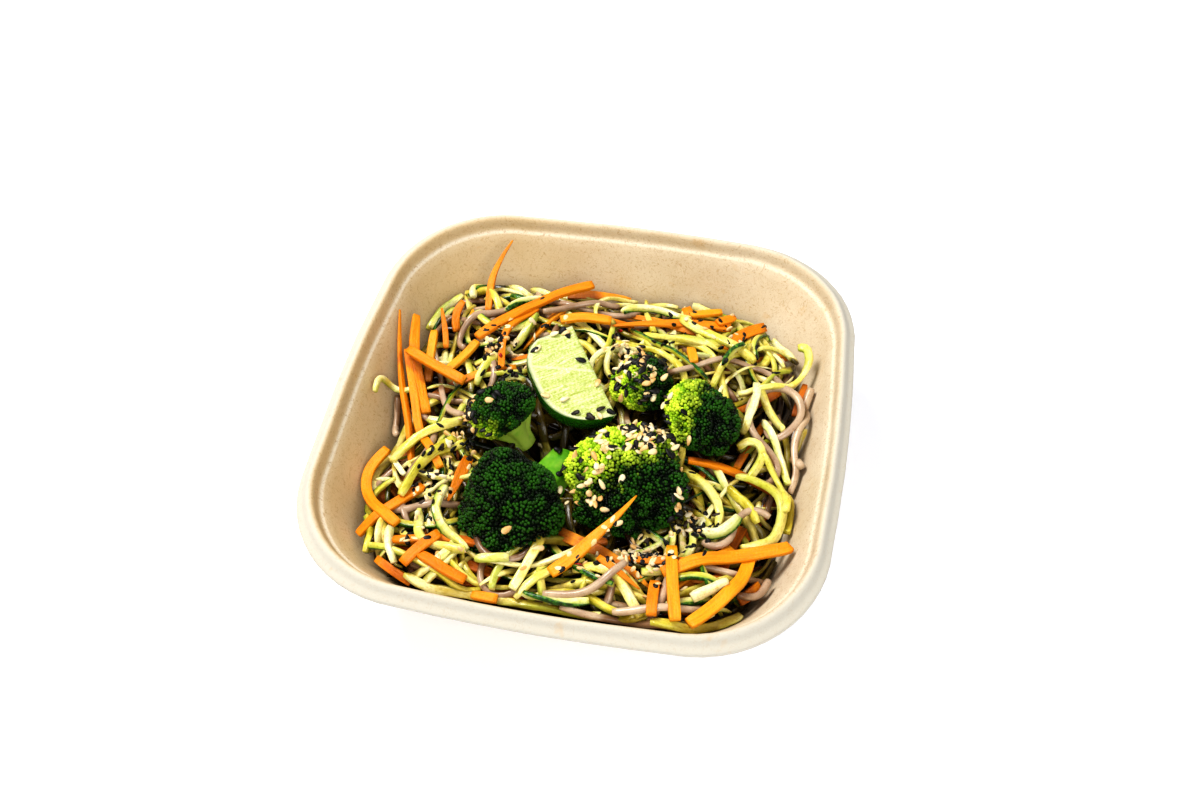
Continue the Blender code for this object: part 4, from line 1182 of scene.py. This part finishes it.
def lime_section(s, first, face, under):
    """One section's ring of points, and their marks: depth from the rind, from the ends and from the core."""
    swell = LIME_RADIUS * math.sqrt(max(1 - abs(s) ** (2.3 if s > 0 else 4.4), 0.0)) * (0.93 if first else 1)
    along_mm = LIME_HALF_LENGTH * s
    at = LIME_MIDDLE + LIME_ALONG * along_mm
    from_ends = min(LIME_HALF_LENGTH * (LIME_TIP - s), LIME_HALF_LENGTH * (s - LIME_BLUNT) * 1.3 + 0.6)
    from_ends = min(from_ends / PITH_FADE, 1)
    radii = [swell * (i / LIME_RADIAL) for i in range(LIME_RADIAL)]
    cut_marks = [(min((swell - r) / PITH_FADE, 1), from_ends, min(r / 8, 1), 1) for r in radii]
    ring, marks = [], list(cut_marks)
    for r in radii:                                      # face that shows, core to rind
        dip = 0.35 * noise.noise(Vector((r * 0.25, along_mm * 0.55 + r * 0.12, 3.0)))
        core_pull = math.exp(-r / 1.6) * 0.5
        ring.append(at + face * (r + core_pull) - under * (dip * min(r / 4, 1, (swell - r) / 3 + 0.1)))
    for i in range(LIME_ARC + 1):                        # rind
        a = LIME_ANGLE * i / LIME_ARC
        uneven = 0.12 * noise.noise(Vector((along_mm * 0.3, a * 9, 7.0)))
        spread = 1.5 * math.sin(min(a / 0.4, 1) * math.pi / 2) * min(swell / 12, 1)
        ring.append(at + (face * math.cos(a) + under * math.sin(a)) * (swell + uneven + spread))
        marks.append((0, from_ends, 1, 0.0 if 0 < i < LIME_ARC else 0.5))
    back = face * math.cos(LIME_ANGLE) + under * math.sin(LIME_ANGLE)
    ring += [at + back * r for r in radii[:0:-1]]        # hidden face, rind back to core
    return np.array(ring), np.array(marks + cut_marks[:0:-1])


def make_lime(material):
    """A lime wedge: two wet cut faces meeting at the core, and the rind round the back."""
    face = unit(LIME_FACE - LIME_ALONG * (LIME_FACE @ LIME_ALONG))
    under = np.cross(LIME_ALONG, face)
    under = -under if under[2] > 0 else under
    stations = np.concatenate([[LIME_BLUNT], np.linspace(LIME_BLUNT, LIME_TIP, LIME_SECTIONS)])
    verts, marks = zip(*(lime_section(s, k == 0, face, under) for k, s in enumerate(stations)))
    m = len(verts[0])
    quads, k, i, fans = loft_faces(len(stations), m)
    u = np.array([min(c, LIME_RADIAL + LIME_ARC) for c in range(m + 1)], float) * LIME_RADIUS / LIME_RADIAL
    v = stations * LIME_HALF_LENGTH
    uv = np.stack([np.stack([u[i], v[k]], 1), np.stack([u[i + 1], v[k]], 1),
                   np.stack([u[i + 1], v[k + 1]], 1), np.stack([u[i], v[k + 1]], 1)], axis=1)
    ends = [verts[0].mean(axis=0), verts[-1].mean(axis=0)]
    batch = Batch()
    batch.add(np.vstack(verts + (ends,)), np.vstack(marks + ([(0.12, 0.05, 0.5, 1), (0, 0, 0.5, 0)],)),
              quads, uv, fans)
    lime = batch.build("lime_wedge_cut", material, "cut_lime")
    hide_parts("lime_wedge")
    return lime


def fresh_cut_lime():
    """Fresh cut lime: wet juice sacs, white pith and waxy green rind.

    The eye gets pale green glassy sacs running from the rind to the core, a membrane between two
    segments, a thin cream pith line and a dimpled dark rind."""
    mat, add, shader = start_material("fresh_cut_lime")
    attribute = add("Attribute", attribute_name="mark")
    mark = add("SeparateColor", {"Color": attribute}).outputs
    place = add("TexCoord").outputs["Object"]
    along = add("UVMap", uv_map="cut")
    # juice sacs: about 1.4 mm wide and 8 mm long, slanting from rind to core
    slant = add("Mapping", {"Vector": along, "Rotation": (0, 0, 0.75), "Scale": (0.10, 0.95, 1.0)})
    sac = add("TexNoise", {"Vector": slant, "Scale": 1.0, "Detail": 4.0, "Roughness": 0.6,
              "Distortion": 1.6})
    flesh = add("ValToRGB", {"Fac": sac}, stops=((0.34, colour("#9FAA42")), (0.50, colour("#B9C36E")),
                (0.68, colour("#D6D9A8"))))
    # one membrane about 0.7 mm thick, slanting across the face
    apart = add("SeparateXYZ", {"Vector": along})
    slope = add("Math", {0: apart.outputs["X"], 1: 0.55, 2: apart.outputs["Y"]}, operation="MULTIPLY_ADD")
    offset = add("Math", {0: slope, 1: 2.0}, operation="SUBTRACT")
    near = add("Math", {0: offset}, operation="ABSOLUTE")
    wall = add("ValToRGB", {"Fac": near}, stops=((0.25, (0.55, 0.55, 0.55, 1)), (0.75, BLACK)))
    split = add("Mix", {"Factor": wall, FIRST: flesh, SECOND: colour("#D8DCB0")}, data_type="RGBA")
    depth = add("Math", {0: mark["Red"], 1: mark["Green"]}, operation="MINIMUM")
    wobble = add("TexNoise", {"Vector": place, "Scale": per_mm(3.0)})
    uneven = add("Math", {0: wobble, 1: 0.14, 2: depth}, operation="MULTIPLY_ADD")
    pith = add("ValToRGB", {"Fac": uneven}, stops=((0.20, WHITE), (0.34, BLACK)))
    cut = add("Mix", {"Factor": pith, FIRST: split, SECOND: colour("#CDD0A0")}, data_type="RGBA")
    glands = add("TexVoronoi", {"Vector": place, "Scale": per_mm(1.1)})
    rind = add("ValToRGB", {"Fac": glands}, stops=((0.0, colour("#0F3806")), (0.6, colour("#215A0C"))))
    skin = add("ValToRGB", {"Fac": attribute.outputs["Alpha"]}, stops=((0.25, WHITE), (0.8, BLACK)))
    both = add("Mix", {"Factor": skin, FIRST: cut, SECOND: rind}, data_type="RGBA")
    relief = add("Math", {0: sac, 1: glands}, operation="ADD")
    bump = add("Bump", {"Height": relief, "Strength": 0.45, "Distance": 0.0006})
    set_inputs(shader, {"Base Color": both, "Normal": bump, "Roughness": 0.24, "IOR": 1.35,
               "Subsurface Weight": 0.25, "Subsurface Radius": (0.8, 1.0, 0.3), "Subsurface Scale": 0.002})
    return mat


# ------------------------------------------------------------------ carrot strips that lie clear on top
# width, route in millimetres, way the flat side faces (None lies on the food), pointed end
CARROTS = (
    ("front_short", 3.6, ((33.7, -61.4, 39.5), (34.0, -67.0, 40.0), (35.0, -77.0, 40.0)), None, 1.0),
    ("front_curved", 4.4, ((61.0, -43.0, 37.5), (60.4, -49.0, 38.0), (58.5, -57.0, 38.5), (53.0, -66.0, 39.5),
                           (45.5, -75.5, 40.0)), None, 1.0),
    ("front_long", 4.4, ((75.5, -37.6, 38.5), (61.9, -43.3, 39.2), (48.1, -49.9, 39.8), (34.5, -58.6, 39.5)),
     None, 1.0),
    ("front_upright", 4.0, ((36.4, -47.0, 43.0), (38.5, -59.6, 43.0), (42.4, -77.0, 41.5)), None, 1.0),
    ("left_arc", 3.8, ((-65.6, -20.7, 34.0), (-70.0, -29.5, 32.5), (-68.6, -38.0, 32.5), (-61.7, -46.8, 33.5),
                       (-50.5, -55.4, 35.5)), None, 1.0),
    ("front_left", 3.6, ((-35.2, -57.2, 37.5), (-40.5, -64.5, 37.0), (-44.7, -71.3, 36.0)), None, 1.0),
    ("left_leaning", 2.7, ((-77.0, 33.0, 43.0), (-73.6, 19.5, 38.5), (-68.6, 5.0, 36.0), (-62.0, -10.0, 34.5),
                           (-56.0, -26.0, 34.0)), (0.8, 0, 0.6), 0.3),
    ("left_wide", 3.9, ((-71.1, 33.3, 41.0), (-68.0, 19.0, 38.0), (-61.0, 3.0, 35.5), (-57.0, -5.0, 34.5)),
     (0.5, -0.2, 0.85), 0.8),
    ("left_across", 3.9, ((-69.0, 16.2, 42.0), (-59.3, 11.3, 42.4), (-45.1, 5.3, 42.5)), (0, 0, 1), 0.9),
    ("back_leaning", 2.7, ((-43.9, 71.3, 47.0), (-47.0, 65.6, 43.0), (-49.0, 57.3, 39.0),
                           (-47.5, 44.0, 35.5)),
     (0, -0.7, 0.7), 0.25),
    ("back_long", 3.9, ((-11.2, 64.9, 36.5), (-23.5, 56.0, 38.0), (-32.7, 45.1, 39.0), (-41.5, 33.7, 39.5),
                        (-47.0, 26.0, 39.0)), None, 1.0),
    ("behind_lime", 3.8, ((-19.9, 40.4, 41.0), (-11.3, 43.5, 41.4), (0.0, 44.2, 40.5)), None, 1.0),
    ("on_broccoli", 4.3, ((24.0, -37.0, 53.5), (19.0, -45.5, 52.2), (12.9, -53.4, 50.0), (6.0, -61.3, 45.0),
                          (1.2, -66.4, 41.5)), None, 0.12),
)


def top_carrots(rng, surface, batch):
    """Lay the clear strips: some rest on the food, others lean with their flat side facing a known way."""
    for name, width, route, flat_way, point in CARROTS:
        path = smooth_path(route, 2.2)
        roll = 0.0
        if flat_way is None:
            path = lay(surface, path[:, :2], width / 2, 0.9, 9, 0.1, least=path[:, 2] - 0.5)
        else:
            side, up = strand_frames(path, 0.0)
            way = np.array(flat_way, float)
            roll = np.arctan2(-(side @ way), up @ way)
            surface.raise_under(path, width / 2, 1.0)
        add_carrot(batch, rng, path, width * 0.92, 1.7, roll, point)


# ------------------------------------------------------------------ seeds and flakes
AROUND_SEED, SEED_STATIONS = 8, (0.10, 0.30, 0.52, 0.74, 0.92)


def seed_template():
    """A sesame seed: flat, egg-shaped, with one end drawn to a point."""
    verts = []
    for t in SEED_STATIONS:
        x = -math.cos(t * math.pi)
        wide = math.sin(t * math.pi) ** 0.8 * (1 - 0.28 * x)
        verts += [(x, wide * math.cos(a), wide * math.sin(a))
                  for a in np.linspace(0, 2 * math.pi, AROUND_SEED, endpoint=False)]
    quads, _, _, fans = loft_faces(len(SEED_STATIONS), AROUND_SEED)
    return np.array(verts + [(-1.02, 0, 0), (1.08, 0, 0)]), quads, fans


# where seeds fell: x, y, reach, share of white seeds, share of black seeds
SHOWERS = (
    (12, 14, 10, 4, 7), (21, -1, 6, 5, 11), (5, 31, 8, 5, 6), (31, 51, 13, 2, 7), (24, -15, 8, 3, 4),
    (12, -30, 13, 5, 0.8), (14, -38, 10, 1.5, 0.3), (41, -36, 8, 12, 12), (30, -50, 9, 16, 11),
    (20, -57, 9, 9, 3),
    (6, -64, 9, 4, 2), (-39, 27, 8, 8, 9), (-33, 15, 6, 2, 3), (-42, -22, 9, 7, 10), (-45, -38, 8, 5, 4),
    (-44, -56, 9, 7, 2), (1, 1, 6, 0.6, 2.5), (47, 42, 12, 2, 4), (-21, -68, 12, 5, 2), (-28, -7, 6, 1, 0.8),
    (-38, -14, 6, 3, 6), (7, -14, 34, 4, 4), (-17, 31, 12, 3, 3), (30, -65, 14, 2, 1), (70, 22, 9, 0.5, 1),
)

# hardly any seeds lie here: the front floret and the lime's cut face
BARE = ((-16.5, -47.0, 17.0), (-17.0, -57.0, 9.0), (-5.0, 9.0, 12.0), (3.0, 1.0, 8.0), (24.0, -32.0, 12.0),
        (0.0, 22.0, 5.0), (40.0, 2.0, 12.0), (-28.0, -10.0, 9.0))
# half a seed's length, width and thickness
SEED_SIZE = np.array([1.72, 1.02, 0.52])

# chilli flakes: x, y, half width
CHILLI = ((10.0, -61.5, 1.5), (2.0, 46.0, 1.0), (12.0, 28.0, 0.9), (-36.0, 20.0, 1.0), (44.0, 30.0, 0.9))


def drop(food, x, y):
    """Where something dropped at a point of the tray lands on the food, and the way the food faces there."""
    hit, normal, _, _ = food.ray_cast(Vector((x, y, 120.0)) * MM, Vector((0, 0, -1)))
    return hit, normal


def drop_points(rng, shares, count, food):
    """Points on the food where seeds come to rest, with the slope there."""
    total = sum(shares)
    places, ways = [], []
    while len(places) < count:
        pick = rng.uniform(0, total)
        for row, share in zip(SHOWERS, shares):
            pick -= share
            if pick <= 0:
                break
        x = rng.gauss(row[0], row[2] * 0.62)
        y = rng.gauss(row[1], row[2] * 0.62)
        bare = any(math.hypot(x - bx, y - by) < reach for bx, by, reach in BARE)
        if room_to_wall(np.array([(x, y)]), [30.0])[0] < 4 or bare and rng.random() < 0.9:
            continue
        hit, normal = drop(food, x, y)
        if hit is None or hit.z < 15 * MM:
            continue
        if normal.z < 0.35 and rng.random() < 0.7:
            continue
        places.append(np.array(hit) / MM)
        ways.append(unit(np.array(normal) + np.array([0, 0, 0.5])))
    return np.array(places), np.array(ways)


def sow(rng, food, name, column, count, material, scale=1.0):
    """Scatter one kind of seed; column is its share in SHOWERS."""
    places, ways = drop_points(rng, [row[column] for row in SHOWERS], count, food)
    lean = np.array([[rng.gauss(0, 0.22) for _ in range(3)] for _ in range(count)])
    size = np.array([[rng.uniform(0.88, 1.1), rng.uniform(0.85, 1.1), rng.uniform(0.85, 1.2)]
                     for _ in range(count)]) * SEED_SIZE * scale
    spins = np.array([rng.uniform(0, 2 * math.pi) for _ in range(count)])
    marks = np.array([[rng.random(), rng.random(), 0, 1] for _ in range(count)])
    batch = Batch()
    scatter(batch, seed_template(), places + ways * 0.42, unit(ways + lean), size, spins, marks)
    batch.build(name, material, "dressed_noodles")


def white_sesame():
    """Hulled white sesame, lightly toasted: ivory with a warm rim and a dull oily face."""
    mat, add, shader = start_material("toasted_white_sesame")
    mark = read_mark(add)
    place = add("TexCoord").outputs["Object"]
    blush = add("TexNoise", {"Vector": place, "Scale": per_mm(2.5)})
    tone = add("Math", {0: mark["Red"], 1: 0.5, 2: blush}, operation="MULTIPLY_ADD")
    ivory = add("ValToRGB", {"Fac": tone}, stops=((0.40, colour("#F3E3BE")), (0.75, colour("#EBD09A")),
                (1.0, colour("#D9A760"))))
    set_inputs(shader, {"Base Color": ivory, "Roughness": 0.45, "IOR": 1.47, "Subsurface Weight": 0.15,
               "Subsurface Radius": (0.8, 0.6, 0.4), "Subsurface Scale": 0.0008})
    return mat


def black_sesame():
    """Black sesame in its hull: near-black, very fine matt grain with an oily glint."""
    mat, add, shader = start_material("unhulled_black_sesame")
    mark = read_mark(add)
    place = add("TexCoord").outputs["Object"]
    soot = add("ValToRGB", {"Fac": mark["Red"]}, stops=((0.0, colour("#060505")), (0.85, colour("#12100E")),
               (1.0, colour("#3A2A1C"))))
    grain = add("TexNoise", {"Vector": place, "Scale": per_mm(0.3), "Detail": 2.0})
    bump = add("Bump", {"Height": grain, "Strength": 0.3, "Distance": 0.0001})
    set_inputs(shader, {"Base Color": soot, "Normal": bump, "Roughness": 0.48, "IOR": 1.47,
               "Specular IOR Level": 0.3})
    return mat


def dried_chilli():
    """Dried chilli flake: brittle, wrinkled and deep red, a little glossy on the skin side."""
    mat, add, shader = start_material("dried_red_chilli")
    place = add("TexCoord").outputs["Object"]
    wrinkle = add("TexNoise", {"Vector": place, "Scale": per_mm(0.7), "Detail": 3.0})
    red = add("ValToRGB", {"Fac": wrinkle}, stops=((0.35, colour("#5E0A04")), (0.65, colour("#C81E0C"))))
    bump = add("Bump", {"Height": wrinkle, "Strength": 0.6, "Distance": 0.0002})
    set_inputs(shader, {"Base Color": red, "Normal": bump, "Roughness": 0.35})
    return mat


AROUND_FLAKE = 11


def scatter_chilli(rng, food, material):
    """A few torn flakes, each a thin curled scrap with an uneven edge."""
    batch = Batch()
    turn = np.linspace(0, 2 * math.pi, AROUND_FLAKE, endpoint=False)
    for x, y, reach in CHILLI:
        hit, normal = drop(food, x, y)
        out = reach * np.array([rng.uniform(0.6, 1.15) for _ in turn])
        flat = np.column_stack([out * np.cos(turn), 0.75 * out * np.sin(turn), np.zeros(AROUND_FLAKE)])
        flat[:, 2] = 0.28 * flat[:, 0] ** 2 / reach
        lean = Vector((normal.x, normal.y, normal.z + 0.5)).normalized().to_track_quat("Z", "Y").to_matrix()
        inner = flat * 0.5
        rings = [inner, flat, flat - [0, 0, 0.25], inner - [0, 0, 0.35]]
        verts = np.vstack(rings + [rings[0].mean(axis=0), rings[-1].mean(axis=0)])
        quads, _, _, fans = loft_faces(len(rings), AROUND_FLAKE)
        batch.add(verts @ np.array(lean).T + np.array(hit) / MM + [0, 0, 0.4], (rng.random(), 0, 0, 1),
                  quads[:, [0, 3, 2, 1]], None, fans[:, ::-1])
    batch.build("chilli_flakes", material, "raw_carrot")


# ------------------------------------------------------------------ the table, the light and the camera
def make_floor():
    """A white table lit through from below, so that the tray's shadow almost goes."""
    mesh = bpy.data.meshes.new("table")
    reach, level = 3.0, -0.0004
    corners = [(x * reach, y * reach, level) for x, y in ((-1, -1), (1, -1), (1, 1), (-1, 1))]
    mesh.from_pydata(corners, [], [(0, 1, 2, 3)])
    mat, _, shader = start_material("white_light_table")
    set_inputs(shader, {"Base Color": colour("#EFF2FA"), "Roughness": 0.6, "Emission Color": WHITE,
                        "Emission Strength": 0.20})
    mesh.materials.append(mat)
    floor = bpy.data.objects.new("table", mesh)
    bpy.context.scene.collection.objects.link(floor)


def add_light(name, place, size, power, tint="#FFFFFF"):
    """A round softbox aimed at the food."""
    lamp = bpy.data.lights.new(name, "AREA")
    lamp.shape = "DISK"
    lamp.size = size
    lamp.energy = power
    lamp.color = colour(tint)[:3]
    ob = bpy.data.objects.new(name, lamp)
    ob.location = place
    ob.rotation_euler = (Vector((0, 0, 0.02)) - Vector(place)).to_track_quat("-Z", "Y").to_euler()
    bpy.context.scene.collection.objects.link(ob)


def set_stage():
    """Floor, an even pale studio round it, a key light and a weaker one in front."""
    make_floor()
    world = bpy.data.worlds.new("studio")
    world.use_nodes = True
    set_inputs(world.node_tree.nodes["Background"], {"Color": WHITE, "Strength": 0.44})
    scene = bpy.context.scene
    scene.world = world
    add_light("key_softbox", (-0.40, 0.16, 0.80), 0.40, 8.0, "#FFFDFA")
    add_light("front_softbox", (0.35, -0.60, 0.60), 0.60, 3.8)
    scene.view_settings.view_transform = "Standard"
    scene.view_settings.look = "Medium High Contrast"


def set_camera():
    """Camera over the front right, looking down on the salad and leaning a little."""
    camera = bpy.data.cameras.new("camera")
    camera.lens = 38.2
    camera.sensor_width = 36.0
    camera.clip_start = 0.01
    ob = bpy.data.objects.new("camera", camera)
    place = Vector((0.0641, -0.2589, 0.3827))
    back = (place - Vector((0.0036, 0.0021, 0.0470))).normalized()
    right = Vector((0, 0, 1)).cross(back).normalized()
    up = back.cross(right)
    lean = math.radians(-1.97)
    right, up = right * math.cos(lean) + up * math.sin(lean), up * math.cos(lean) - right * math.sin(lean)
    turn = Matrix((right, up, back)).transposed()
    ob.matrix_world = Matrix.Translation(place) @ turn.to_4x4()
    bpy.context.scene.collection.objects.link(ob)
    bpy.context.scene.camera = ob


# ------------------------------------------------------------------ putting the salad together
def points_of(piece):
    """A piece's points, in metres."""
    flat = np.empty(len(piece.data.vertices) * 3)
    piece.data.vertices.foreach_get("co", flat)
    return flat.reshape(-1, 3)


def food_surface(pieces):
    """Everything laid so far as one surface to drop seeds on, in metres."""
    verts, faces, start = [], [], 0
    for piece in pieces:
        verts.append(points_of(piece))
        faces += [tuple(i + start for i in poly.vertices) for poly in piece.data.polygons]
        start += len(verts[-1])
    return BVHTree.FromPolygons([Vector(v) for v in np.concatenate(verts)], faces)


def main():
    rng = random.Random(17)
    set_stage()
    set_camera()
    make_tray(moulded_bagasse())

    surface = Surface()
    batches = {kind: Batch() for kind in HABITS}
    core = fill_heap(rng, surface, batches)
    add_marked_strands(rng, surface, batches)
    buds, stalks = broccoli_buds(), broccoli_stalk()
    toppings = [piece for row in FLORETS for piece in make_floret(row, buds, stalks)]
    toppings.append(make_lime(fresh_cut_lime()))
    for piece in toppings:
        points = points_of(piece) / MM
        np.maximum.at(surface.height, surface.cells(points[:, 0], points[:, 1]), points[:, 2])
    clear_strips = Batch()
    top_carrots(rng, surface, clear_strips)
    # painted shade: strands lying under or beside higher food are painted darker and browner
    cover = surface.cover(1.8)
    for batch in list(batches.values()) + [clear_strips]:
        batch.shade_depth(surface, cover)

    carrot = julienned_carrot()
    make_core(core, surface, dressed_core())
    strands = [batches["soba"].build("soba_noodles", boiled_soba(), "dressed_noodles"),
               batches["courgette"].build("courgette_noodles", spiral_cut_courgette(), "dressed_noodles"),
               batches["carrot"].build("carrot_shreds", carrot, "raw_carrot")]
    top = clear_strips.build("carrot_strips", carrot, "raw_carrot")
    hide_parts(*["carrot_strip_" + row[0] for row in CARROTS])

    food = food_surface(strands + [top] + toppings)
    sow(rng, food, "white_sesame_seeds", 3, 380, white_sesame())
    sow(rng, food, "black_sesame_seeds", 4, 500, black_sesame(), 0.98)
    scatter_chilli(rng, food, dried_chilli())


main()
